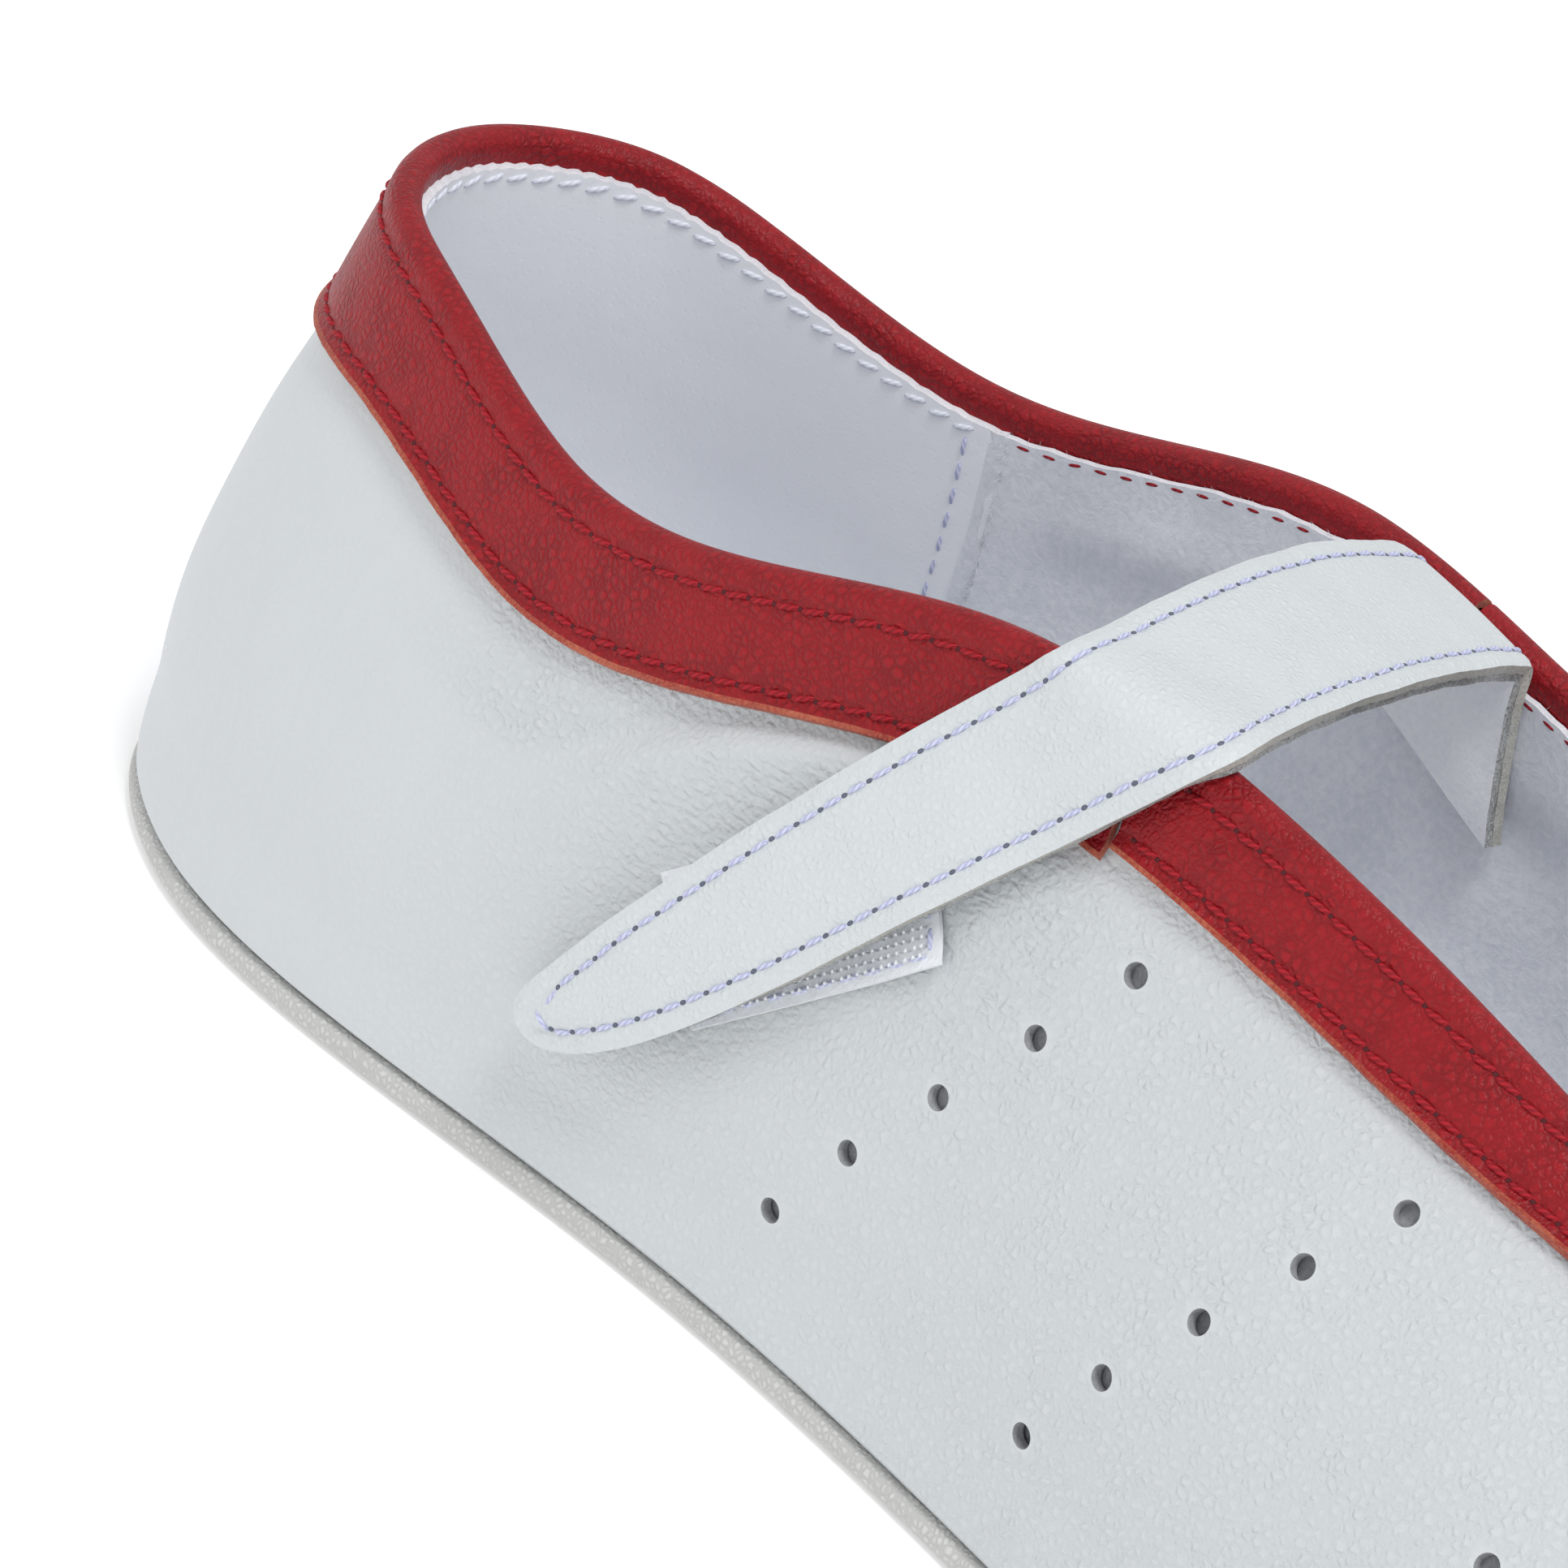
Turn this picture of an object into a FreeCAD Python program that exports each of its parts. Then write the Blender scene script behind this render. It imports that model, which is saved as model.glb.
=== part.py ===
import FreeCAD, Part
import math
import os
from FreeCAD import Placement, Rotation, Vector

# Right slipper shoe with one instep strap. Millimetres, +X to the toe, +Y to the inner side
# of the foot, +Z up. Shapes are drawn from the heel (x = 0); each placement moves the
# origin to the middle of the sole's rest plane.

os.makedirs("parts", exist_ok=True)
doc = FreeCAD.newDocument("strap_slipper")
sheet = doc.addObject("Spreadsheet::Sheet", "dims")

DRIVING = [
    ("shoe_length", 276.0),
    ("shoe_width", 96.0),
    ("collar_height", 61.0),
    ("sole_thickness", 3.2),
    ("rim_overhang", 1.4),
    ("leather_thickness", 1.1),
    ("lining_thickness", 0.8),
    ("stiffener_thickness", 0.8),
    ("band_thickness", 0.85),
    ("rear_band_width", 10.3),
    ("front_band_width", 9.0),
    ("heel_band_flare", 3.2),
    ("board_thickness", 1.4),
    ("sock_thickness", 1.6),
    ("strap_scale", 1.0),
    ("strap_leather", 1.0),
    ("tape_thickness", 1.0),
    ("vent_diameter", 2.1),
    ("thread_diameter", 0.4),
    ("glue_line", 0.05),
    ("free_gap", 0.3),
]
for row, (word, number) in enumerate(DRIVING, start=1):
    sheet.set("A%d" % row, word)
    sheet.set("B%d" % row, str(number))
    sheet.setAlias("B%d" % row, word)
doc.recompute()

LENGTH = sheet.shoe_length
SOLE = sheet.sole_thickness
RIM = sheet.rim_overhang
LEATHER = sheet.leather_thickness
LINING = sheet.lining_thickness
STIFF = sheet.stiffener_thickness
BAND = sheet.band_thickness
BOARD = sheet.board_thickness
PLY = sheet.strap_leather
TAPE = sheet.tape_thickness
THREAD = sheet.thread_diameter
GLUE = sheet.glue_line
GAP = sheet.free_gap

# The tables below are drawn for a 276 x 96 x 61 mm shoe and scaled to the driving sizes.
SCALE_X = LENGTH / 276.0
SCALE_Y = sheet.shoe_width / 96.0
SCALE_Z = sheet.collar_height / 61.0
HOME = Placement(Vector(-LENGTH / 2, 0, 0), Rotation())

# Sole outline, heel -> outer side -> toe -> inner side (x, y).
OUTLINE = [
    (0, 0), (3, -12), (10, -21), (25, -30), (45, -33.5), (67, -33.5), (90, -34),
    (120, -38), (150, -44), (180, -48), (207, -47), (233, -39.5), (254, -26), (269, -10),
    (276, 7), (271, 24), (254, 37), (230, 45), (205, 47), (180, 43.5), (150, 34.5),
    (120, 28), (90, 27), (65, 30), (45, 32), (25, 29.5), (10, 21), (3, 12),
]
# Collar edge of the upper at the same stations (x, y, z).
COLLAR = [
    (9, 0, 59.9), (11.5, -9.5, 59.7), (17.5, -16.5, 59.1), (30, -21.8, 57.1),
    (49, -26.4, 52.9), (69, -28.3, 55.7), (90, -26.8, 62.3), (112, -26.6, 63.8),
    (133, -25.8, 60.4), (152, -24.6, 55.7), (168, -22.5, 50.9), (181, -18.5, 47.1),
    (190, -12.5, 45), (194.5, -5, 43.8), (196, 2.5, 43.4), (194, 9.5, 43.8),
    (188, 15.5, 45), (177, 20, 47.8), (162, 22.8, 51.2), (146, 24.3, 54.4),
    (128, 25.6, 57.2), (110, 26.6, 59.4), (88, 27.6, 61.6), (68, 28, 56.9),
    (49, 26.6, 52.9), (30, 22.2, 55.9), (17.5, 16.8, 58.9), (11.5, 9.6, 59.7),
]
STATIONS = len(OUTLINE)
PER_STATION = 4

# Rib shape at the quarters and at the toe: how far the two handles of each rib reach.
QUARTER_RIB = {"rise": 0.36, "bulge": 4.8, "reach": 0.0, "lean": 3.4, "drop": 0.36}
TOE_RIB = {"rise": 0.58, "bulge": 1.5, "reach": 0.55, "lean": 0.0, "drop": 0.30}
TOE_START = 110.0 * SCALE_X
TOE_FULL = 250.0 * SCALE_X
WALL_FOOT = SOLE + 1.0


def smooth(value, low, high):
    share = min(1.0, max(0.0, (value - low) / (high - low)))
    return share * share * (3 - 2 * share)


def station_parameters(points):
    values = [0.0]
    for first, second in zip(points, points[1:] + points[:1]):
        values.append(values[-1] + math.sqrt(first.distanceToPoint(second)))
    return values


def closed_curve(points, parameters):
    curve = Part.BSplineCurve()
    curve.interpolate(Points=points, PeriodicFlag=True, Parameters=parameters)
    return curve


SOLE_POINTS = [Vector(x * SCALE_X, y * SCALE_Y, 0) for x, y in OUTLINE]
COLLAR_POINTS = [Vector(x * SCALE_X, y * SCALE_Y, z * SCALE_Z) for x, y, z in COLLAR]
PARAMS = station_parameters(SOLE_POINTS)
TURN = PARAMS[-1]
SOLE_CURVE = closed_curve(SOLE_POINTS, PARAMS)


def outline_frame(turn):
    """Point on the sole outline and its outward direction."""
    point, along = SOLE_CURVE.getD1(turn % TURN)[0:2]
    outward = Vector(along.y, -along.x, 0).normalize()
    return point, outward


def make_ribs():
    """Four closed curves that carry the handles of every rib of the upper."""
    rows = [[], [], [], []]
    for turn, top in zip(PARAMS, COLLAR_POINTS):
        edge, outward = outline_frame(turn)
        foot = edge - outward * RIM
        foot.z = WALL_FOOT
        share = smooth(edge.x, TOE_START, TOE_FULL)
        rib = {key: QUARTER_RIB[key] + (TOE_RIB[key] - QUARTER_RIB[key]) * share for key in TOE_RIB}
        height = top.z - WALL_FOOT
        back = Vector(foot.x - top.x, foot.y - top.y, 0)
        low = foot + outward * rib["bulge"] + Vector(0, 0, height * rib["rise"])
        high = top + back * rib["reach"] + outward * rib["lean"] - Vector(0, 0, height * rib["drop"])
        for row, point in zip(rows, (foot, low, high, top)):
            row.append(point)
    return [closed_curve(row, PARAMS) for row in rows]


RIBS = make_ribs()


def wall(turn, climb, offset=0.0):
    """Point of the outer skin at a rib (turn) and height share (climb), moved outward."""
    rest = 1 - climb
    weights = (rest ** 3, 3 * rest * rest * climb, 3 * rest * climb * climb, climb ** 3)
    slopes = (-3 * rest * rest, 3 * rest * rest - 6 * rest * climb,
              6 * rest * climb - 3 * climb * climb, 3 * climb * climb)
    point = Vector()
    along = Vector()
    up = Vector()
    for rib, weight, slope in zip(RIBS, weights, slopes):
        place, direction = rib.getD1(turn % TURN)[0:2]
        point = point + place * weight
        along = along + direction * weight
        up = up + place * slope
    normal = along.cross(up).normalize()
    return point + normal * offset, normal, up.normalize()


def climb_below(turn, distance):
    """Height share at a distance measured down the rib from the collar edge."""
    steps = 60
    last = wall(turn, 1.0)[0]
    travelled = 0.0
    for step in range(1, steps + 1):
        climb = 1 - step / steps
        here = wall(turn, climb)[0]
        part = here.distanceToPoint(last)
        if travelled + part >= distance:
            return climb + (travelled + part - distance) / part / steps
        travelled += part
        last = here
    return 0.0


def wall_at(x, z, turn, climb):
    """Rib and height share of the skin point with this x and z, near a first guess."""
    nudge = 1e-3
    for _ in range(30):
        here = wall(turn, climb)[0]
        by_turn = (wall(turn + nudge, climb)[0] - here) * (1 / nudge)
        by_climb = (wall(turn, climb + nudge)[0] - here) * (1 / nudge)
        miss_x = x - here.x
        miss_z = z - here.z
        spread = by_turn.x * by_climb.z - by_climb.x * by_turn.z
        turn += (miss_x * by_climb.z - by_climb.x * miss_z) / spread
        climb += (by_turn.x * miss_z - miss_x * by_turn.z) / spread
        climb = min(0.995, max(0.0, climb))
    return turn, climb


def chord_parameters(points):
    values = [0.0]
    for first, second in zip(points, points[1:]):
        values.append(values[-1] + max(1e-3, first.distanceToPoint(second)))
    return values


def grid_surface(grid, closed=False, across=None, along=None):
    """Surface through a grid of points; closed joins the last column to the first."""
    across = across or chord_parameters(grid[0])
    if along is None:
        ring = [column[len(column) // 2] for column in grid]
        along = chord_parameters(ring + ring[:1] if closed else ring)
    columns = []
    for column in grid:
        curve = Part.BSplineCurve()
        curve.interpolate(Points=column, Parameters=across)
        columns.append(curve)
    net = [curve.getPoles() for curve in columns]
    rows = []
    for index in range(len(net[0])):
        curve = Part.BSplineCurve()
        curve.interpolate(Points=[poles[index] for poles in net], PeriodicFlag=closed, Parameters=along)
        rows.append(curve)
    poles = [list(line) for line in zip(*[row.getPoles() for row in rows])]
    surface = Part.BSplineSurface()
    surface.buildFromPolesMultsKnots(
        poles, rows[0].getMultiplicities(), columns[0].getMultiplicities(),
        rows[0].getKnots(), columns[0].getKnots(), closed, False, rows[0].Degree, columns[0].Degree)
    return surface


def strip_between(first, second):
    """Straight surface between two curves that share their knots."""
    surface = Part.BSplineSurface()
    surface.buildFromPolesMultsKnots(
        [first.getPoles(), second.getPoles()], [2, 2], first.getMultiplicities(),
        [0.0, 1.0], first.getKnots(), False, first.isPeriodic(), 1, first.Degree)
    return surface


def solid_from(faces):
    shell = Part.makeShell(faces)
    shell.sewShape()
    solid = Part.makeSolid(Part.Shell(shell.Faces))
    if solid.Volume < 0:
        solid.reverse()
    return solid


def patch_solid(outer, inner):
    """Closed solid between two grids of the same size."""
    across = chord_parameters(outer[len(outer) // 2])
    along = chord_parameters([column[len(column) // 2] for column in outer])
    top = grid_surface(outer, False, across, along)
    low = grid_surface(inner, False, across, along)
    low_u, high_u, low_v, high_v = top.bounds()
    faces = [top.toShape(), low.toShape()]
    for turn in (low_u, high_u):
        faces.append(strip_between(top.uIso(turn), low.uIso(turn)).toShape())
    for climb in (low_v, high_v):
        faces.append(strip_between(top.vIso(climb), low.vIso(climb)).toShape())
    return solid_from(faces)


def ring_solid(outer, inner):
    """Closed ring between two grids that run all the way round."""
    across = chord_parameters(outer[0])
    along = loop_turns() + [TURN]
    top = grid_surface(outer, True, across, along)
    low = grid_surface(inner, True, across, along)
    low_v, high_v = top.bounds()[2:4]
    half = PARAMS[STATIONS // 2]
    faces = []
    for start, stop in ((0.0, half), (half, TURN)):
        faces.append(top.toShape(start, stop, low_v, high_v))
        faces.append(low.toShape(start, stop, low_v, high_v))
        for climb in (low_v, high_v):
            strip = strip_between(top.vIso(climb), low.vIso(climb))
            faces.append(strip.toShape(0.0, 1.0, start, stop))
    return solid_from(faces)


def offset_grid(grid, distance):
    """Grid moved along its own normals (to the side of along x across)."""
    moved = []
    for i, column in enumerate(grid):
        line = []
        for j, point in enumerate(column):
            along = grid[min(i + 1, len(grid) - 1)][j] - grid[max(i - 1, 0)][j]
            across = column[min(j + 1, len(column) - 1)] - column[max(j - 1, 0)]
            line.append(point + along.cross(across).normalize() * distance)
        moved.append(line)
    return moved


def loop_turns():
    turns = []
    for first, second in zip(PARAMS, PARAMS[1:]):
        turns += [first + (second - first) * k / PER_STATION for k in range(PER_STATION)]
    return turns


def span(start, stop, count):
    return [start + (stop - start) * k / (count - 1) for k in range(count)]


def keep(label, shape):
    item = doc.addObject("Part::Feature", label)
    item.Label = label
    item.Shape = shape
    item.Placement = HOME.multiply(item.Placement)
    return item


# --- Sole -----------------------------------------------------------------------------

# Section of the rim: how far in from the outline, and height as a share of the thickness.
RIM_SECTION = [(1.5, 0.0), (0.7, 0.12), (0.18, 0.32), (0.0, 0.55), (0.12, 0.78), (0.5, 0.94), (1.1, 1.0)]


def outline_wire(inset):
    points = []
    for turn in PARAMS[:-1]:
        edge, outward = outline_frame(turn)
        points.append(edge - outward * inset)
    return Part.Wire([closed_curve(points, PARAMS).toShape()])


def make_outsole():
    grid = []
    for turn in loop_turns():
        edge, outward = outline_frame(turn)
        grid.append([edge - outward * inset + Vector(0, 0, share * SOLE) for inset, share in RIM_SECTION])
    side = grid_surface(grid, True, chord_parameters(grid[0]), loop_turns() + [TURN])
    low_v, high_v = side.bounds()[2:4]
    half = PARAMS[STATIONS // 2]
    faces = []
    lids = {low_v: [], high_v: []}
    for start, stop in ((0.0, half), (half, TURN)):
        faces.append(side.toShape(start, stop, low_v, high_v))
        for level in lids:
            lids[level].append(side.vIso(level).toShape(start, stop))
    faces += [Part.Face(Part.Wire(edges)) for edges in lids.values()]
    keep("outsole", solid_from(faces))


def add_plate(label, inset, level, thickness_cell):
    """Flat layer of the bottom, its thickness bound to the sheet."""
    outline = doc.addObject("Part::Feature", label + "_outline")
    outline.Shape = Part.Face(outline_wire(inset))
    plate = doc.addObject("Part::Extrusion", label)
    plate.Label = label
    plate.Base = outline
    plate.DirMode = "Custom"
    plate.Dir = Vector(0, 0, 1)
    plate.Solid = True
    plate.setExpression("LengthFwd", "dims." + thickness_cell)
    plate.Placement = Placement(Vector(-LENGTH / 2, 0, level), Rotation())
    return plate


FLANGE_REACH = 9.0
BOARD_INSET = 0.75
SOCK_INSET = 0.5
WALL_STACK = LEATHER + GLUE + STIFF + GLUE
FLANGE_BOTTOM = SOLE + GLUE
FLANGE_TOP = FLANGE_BOTTOM + LEATHER
BOARD_BOTTOM = FLANGE_TOP + GLUE
SOCK_BOTTOM = BOARD_BOTTOM + BOARD + GLUE


def make_bottom_layers():
    add_plate("bottom_filler", RIM + FLANGE_REACH + GLUE, FLANGE_BOTTOM, "leather_thickness")
    add_plate("insole_board", RIM + LEATHER + BOARD_INSET, BOARD_BOTTOM, "board_thickness")
    add_plate("sock_liner", RIM + WALL_STACK + LINING + SOCK_INSET, SOCK_BOTTOM, "sock_thickness")


# --- Upper and its inner layers --------------------------------------------------------

WALL_CLIMBS = [0.02, 0.05, 0.1, 0.17, 0.26, 0.36, 0.46, 0.56, 0.66, 0.76, 0.85, 0.93, 1.0]
# Turned-under margin and corner: inset and height of the outer and the inner skin.
MARGIN = [
    ((FLANGE_REACH, FLANGE_BOTTOM), (FLANGE_REACH, FLANGE_TOP)),
    ((5.5, FLANGE_BOTTOM), (5.5, FLANGE_TOP)),
    ((2.4, FLANGE_BOTTOM), (2.6, FLANGE_TOP)),
    ((0.9, FLANGE_BOTTOM + 0.2), (1.75, FLANGE_TOP + 0.12)),
    ((0.2, FLANGE_BOTTOM + 0.85), (1.28, FLANGE_TOP + 0.42)),
]

VENT_ROWS = [(0.1991, 0.2408, 5), (0.2432, 0.2936, 5), (0.2890, 0.3430, 5), (0.3360, 0.3900, 4), (0.3800, 0.4200, 3)]
VENT_LOW = 0.162
VENT_STEP = 0.146
VENT_BEND = 1.15
DRILL_MARGIN = 1.5


def vent_positions():
    """Rib and height share of every vent hole, both sides of the shoe."""
    places = []
    for start, stop, count in VENT_ROWS:
        for k in range(count):
            turn = (start + (stop - start) * (k / 4) ** VENT_BEND) * TURN
            climb = VENT_LOW + VENT_STEP * k
            places.append((turn, climb))
            outer = wall(turn, climb)[0]
            places.append(wall_at(outer.x, outer.z, TURN - turn, climb))
    return places


def make_upper():
    outer = []
    inner = []
    for turn in loop_turns():
        edge, outward = outline_frame(turn)
        foot = edge - outward * RIM
        skin = [foot - outward * low[0] + Vector(0, 0, low[1]) for low, high in MARGIN]
        flesh = [foot - outward * high[0] + Vector(0, 0, high[1]) for low, high in MARGIN]
        skin += [wall(turn, climb)[0] for climb in WALL_CLIMBS]
        flesh += [wall(turn, climb, -LEATHER)[0] for climb in WALL_CLIMBS]
        outer.append(skin)
        inner.append(flesh)
    body = ring_solid(outer, inner)
    drills = []
    for turn, climb in vent_positions():
        point, normal, up = wall(turn, climb, DRILL_MARGIN)
        drills.append(Part.makeCylinder(sheet.vent_diameter / 2, LEATHER + 2 * DRILL_MARGIN, point, normal * -1))
    keep("upper", body.cut(drills))


def layer(turns, top_distance, offsets, thickness, rows):
    """Solid layer inside the upper; offsets(turn, climb) is the depth of its outer face."""
    outer = []
    inner = []
    for turn in turns:
        high = climb_below(turn, top_distance)
        base = climb_at_board(turn)
        heights = [base + (high - base) * k / (rows - 1) for k in range(rows)]
        outer.append([wall(turn, climb, -offsets(turn, climb))[0] for climb in heights])
        inner.append([wall(turn, climb, -offsets(turn, climb) - thickness)[0] for climb in heights])
    return patch_solid(outer, inner)


def climb_at_board(turn):
    """Height share where a rib passes the top of the insole board."""
    low = 0.0
    high = 0.6
    for _ in range(24):
        middle = (low + high) / 2
        if wall(turn, middle)[0].z < SOCK_BOTTOM + GLUE:
            low = middle
        else:
            high = middle
    return high


SEAM = 0.1222
SEAM_GAP = 0.0004
COUNTER_END = 0.1130
PUFF_START = 0.4150
COUNTER_TOP = 17.0
PUFF_TOP = 42.0
LINING_TOP = 1.3
# The forepart lining lies close to the upper between these distances below the edge, and
# between these rib shares after the seam and before the toe puff.
CLOSE_BELOW = (7.5, 14.0)
CLOSE_AFTER = (0.004, 0.02)
CLOSE_BEFORE = (0.035, 0.008)


def deep(turn, climb):
    return WALL_STACK


def stiffener_depth(turn, climb):
    return LEATHER + GLUE


def forepart_depth(turn, climb):
    """Close to the upper on the sides, deeper under the collar, at the seam and at the toe."""
    point = wall(turn, climb)[0]
    share = min(turn, TURN - turn) / TURN
    below = wall(turn, 1.0)[0].distanceToPoint(point)
    close = smooth(below, *CLOSE_BELOW) * smooth(share, SEAM + CLOSE_AFTER[0], SEAM + CLOSE_AFTER[1])
    close = close * (1 - smooth(share, PUFF_START - CLOSE_BEFORE[0], PUFF_START - CLOSE_BEFORE[1]))
    return WALL_STACK - (STIFF + GLUE) * close


def make_inner_layers():
    heel = span(-SEAM * TURN, SEAM * TURN, 41)
    fore = span((SEAM + SEAM_GAP) * TURN, (1 - SEAM - SEAM_GAP) * TURN, 97)
    keep("heel_lining", layer(heel, LINING_TOP, deep, LINING, 12))
    keep("forepart_lining", layer(fore, LINING_TOP, forepart_depth, LINING, 16))
    counter = span(-COUNTER_END * TURN, COUNTER_END * TURN, 37)
    keep("heel_counter", layer(counter, COUNTER_TOP, stiffener_depth, STIFF - GLUE, 8))
    puff = span(PUFF_START * TURN, (1 - PUFF_START) * TURN, 31)
    keep("toe_puff", layer(puff, PUFF_TOP, stiffener_depth, STIFF - GLUE, 8))


# --- Collar bands ------------------------------------------------------------------------

BAND_SPLIT_OUTER = 0.2295
BAND_SPLIT_INNER = 0.7840
BAND_GAP = 0.0006
REAR_RIBS = 81
FRONT_RIBS = 89
FLAP_INSIDE = 4.5
FLAP_SHARES = [1.0, 0.8, 0.6, 0.4, 0.22, 0.08]
ROLL_ANGLES = [0, 30, 60, 90, 120, 150, 180]
SKIN_GAP = 0.02
# Share of the way round at which the heel's extra width begins to fade and is gone.
FLARE_FULL = 0.02
FLARE_END = 0.11


def band_drop(turn, width):
    """Width of a band's outer flap: it grows toward the back of the heel."""
    side = min(turn % TURN, -turn % TURN) / TURN
    return width + sheet.heel_band_flare * (1 - smooth(side, FLARE_FULL, FLARE_END))


def band_column(turn, width, depth):
    """Points of one band section, a fixed depth outside the upper's two faces."""
    points = []
    for share in FLAP_SHARES:
        points.append(wall(turn, climb_below(turn, band_drop(turn, width) * share), depth)[0])
    edge, normal, up = wall(turn, 1.0)
    centre = edge - normal * (LEATHER / 2)
    for angle in ROLL_ANGLES:
        reach = normal * math.cos(math.radians(angle)) + up * math.sin(math.radians(angle))
        points.append(centre + reach * (LEATHER / 2 + depth))
    for share in reversed(FLAP_SHARES[:-1]):
        points.append(wall(turn, climb_below(turn, FLAP_INSIDE * share), -LEATHER - depth)[0])
    return points


def make_band(label, start, stop, count, width):
    turns = span(start * TURN, stop * TURN, count)
    outer = [band_column(turn, width, SKIN_GAP + BAND) for turn in turns]
    inner = [band_column(turn, width, SKIN_GAP) for turn in turns]
    keep(label, patch_solid(outer, inner))


def tube(points, normals, radius):
    """Round thread along a path; normals say which way is up from the leather."""
    sides = 8
    grid = [[] for _ in range(sides)]
    for index, (point, normal) in enumerate(zip(points, normals)):
        ahead = points[min(index + 1, len(points) - 1)] - points[max(index - 1, 0)]
        side = ahead.normalize().cross(normal).normalize()
        lift = side.cross(ahead)
        for k in range(sides):
            angle = 2 * math.pi * k / sides
            grid[k].append(point + (lift * math.cos(angle) + side * math.sin(angle)) * radius)
    skin = grid_surface(grid, True, chord_parameters(points), span(0.0, float(sides), sides + 1))
    low_v, high_v = skin.bounds()[2:4]
    faces = [skin.toShape()]
    for end in (low_v, high_v):
        faces.append(Part.Face(Part.Wire([skin.vIso(end).toShape()])))
    return solid_from(faces)


def band_thread(label, start, stop, count, depth_at):
    lift = SKIN_GAP + BAND + THREAD / 2 + SKIN_GAP
    places = [wall(turn, climb_below(turn, depth_at(turn)), lift) for turn in span(start * TURN, stop * TURN, count)]
    keep(label, tube([place[0] for place in places], [place[1] for place in places], THREAD / 2))


THREAD_BELOW = 1.6
THREAD_MARGIN = 1.5
THREAD_END = 0.004


def make_bands():
    rear = (BAND_SPLIT_INNER - 1 + BAND_GAP, BAND_SPLIT_OUTER - BAND_GAP, REAR_RIBS)
    front = (BAND_SPLIT_OUTER + BAND_GAP, BAND_SPLIT_INNER - BAND_GAP, FRONT_RIBS)
    bands = [("rear_band", rear, sheet.rear_band_width), ("front_band", front, sheet.front_band_width)]
    for label, (start, stop, count), width in bands:
        make_band(label, start, stop, count, width)
        rows = {
            "upper": lambda turn: THREAD_BELOW,
            "lower": lambda turn, width=width: band_drop(turn, width) - THREAD_MARGIN,
        }
        for row, depth_at in rows.items():
            name = "%s_thread_%s" % (label, row)
            band_thread(name, start + THREAD_END, stop - THREAD_END, count, depth_at)


# --- Strap -------------------------------------------------------------------------------

STRAP = 2 * PLY + SKIN_GAP
# Start of the tab on the outer quarter, its run down and back, and its two edges.
TAB_START = Vector(104.9 * SCALE_X, 0, 60.0 * SCALE_Z)
TAB_RUN = Vector(-0.623, 0, -0.782)
TAB_SIDE = Vector(0.782, 0, -0.623)
TAB_EDGES = [
    (4.0, -6.9, 6.9), (10.0, -6.6, 7.1), (17.0, -6.1, 7.2), (24.0, -5.7, 7.2), (31.0, -5.2, 7.0),
    (37.0, -4.7, 6.6), (42.0, -4.3, 6.0), (46.0, -3.9, 5.3), (49.5, -3.6, 4.4), (52.5, -3.3, 3.4),
    (54.6, -3.1, 2.4), (56.0, -2.8, 1.4), (56.8, -2.3, 0.4),
]
TAB_LIFT = [(4.0, 3.55), (9.0, 3.95), (14.0, 4.5), (44.0, 4.5), (50.0, 4.05), (56.8, 3.45)]
SIDE_STEPS = 7
TAB_GUESS = (0.19, 0.6)
# Loop tape under the tab: its run, its two sides and how much they taper in.
LOOP_RUN = (15.0, 43.0)
LOOP_SIDES = (-4.3, 5.8)
LOOP_TAPER = (1.0, 30.0)
LOOP_ROWS = 9


def between(table, value):
    """Linear reading of a two-column table."""
    for (low, first), (high, second) in zip(table, table[1:]):
        if value <= high:
            share = max(0.0, (value - low) / (high - low))
            return first + (second - first) * share
    return table[-1][1]


def quarter_point(run, side, lift):
    """Point above the outer quarter at strap coordinates (run down, side forward)."""
    flat = TAB_START + TAB_RUN * run + TAB_SIDE * side
    turn, climb = wall_at(flat.x, flat.z, TAB_GUESS[0] * TURN, TAB_GUESS[1])
    return wall(turn, climb, lift)


def tab_row(run, depth):
    edges = [(row[0], row[1]) for row in TAB_EDGES], [(row[0], row[2]) for row in TAB_EDGES]
    rear = between(edges[0], run) * sheet.strap_scale
    front = between(edges[1], run) * sheet.strap_scale
    lift = between(TAB_LIFT, run) - depth
    return [quarter_point(run, side, lift)[0] for side in span(rear, front, SIDE_STEPS)]


def make_tab():
    """The free end: grain ply outside, suede ply inside, loop tape under it."""
    runs = [row[0] for row in TAB_EDGES]
    top = [tab_row(run, 0.0) for run in runs]
    middle = [tab_row(run, PLY) for run in runs]
    lower = [tab_row(run, PLY + SKIN_GAP) for run in runs]
    bottom = [tab_row(run, STRAP) for run in runs]
    keep("strap_tab_grain", patch_solid(top, middle))
    keep("strap_tab_suede", patch_solid(lower, bottom))
    faces = []
    for depth in (STRAP + 2 * GLUE, STRAP + 2 * GLUE + TAPE):
        rows = []
        for run in span(LOOP_RUN[0], LOOP_RUN[1], LOOP_ROWS):
            lift = between(TAB_LIFT, run) - depth
            taper = LOOP_TAPER[0] * smooth(run, LOOP_TAPER[1], LOOP_RUN[1])
            sides = span(LOOP_SIDES[0] + taper, LOOP_SIDES[1] - taper, SIDE_STEPS)
            rows.append([quarter_point(run, side * sheet.strap_scale, lift)[0] for side in sides])
        faces.append(rows)
    keep("loop_tape", patch_solid(faces[0], faces[1]))


HOOK_CORNER = (16.6, 10.6)
HOOK_TILT = math.radians(-10.3)
HOOK_LENGTH = 26.0
HOOK_WIDTH = 12.5
HOOK_ROWS = 8


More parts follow.
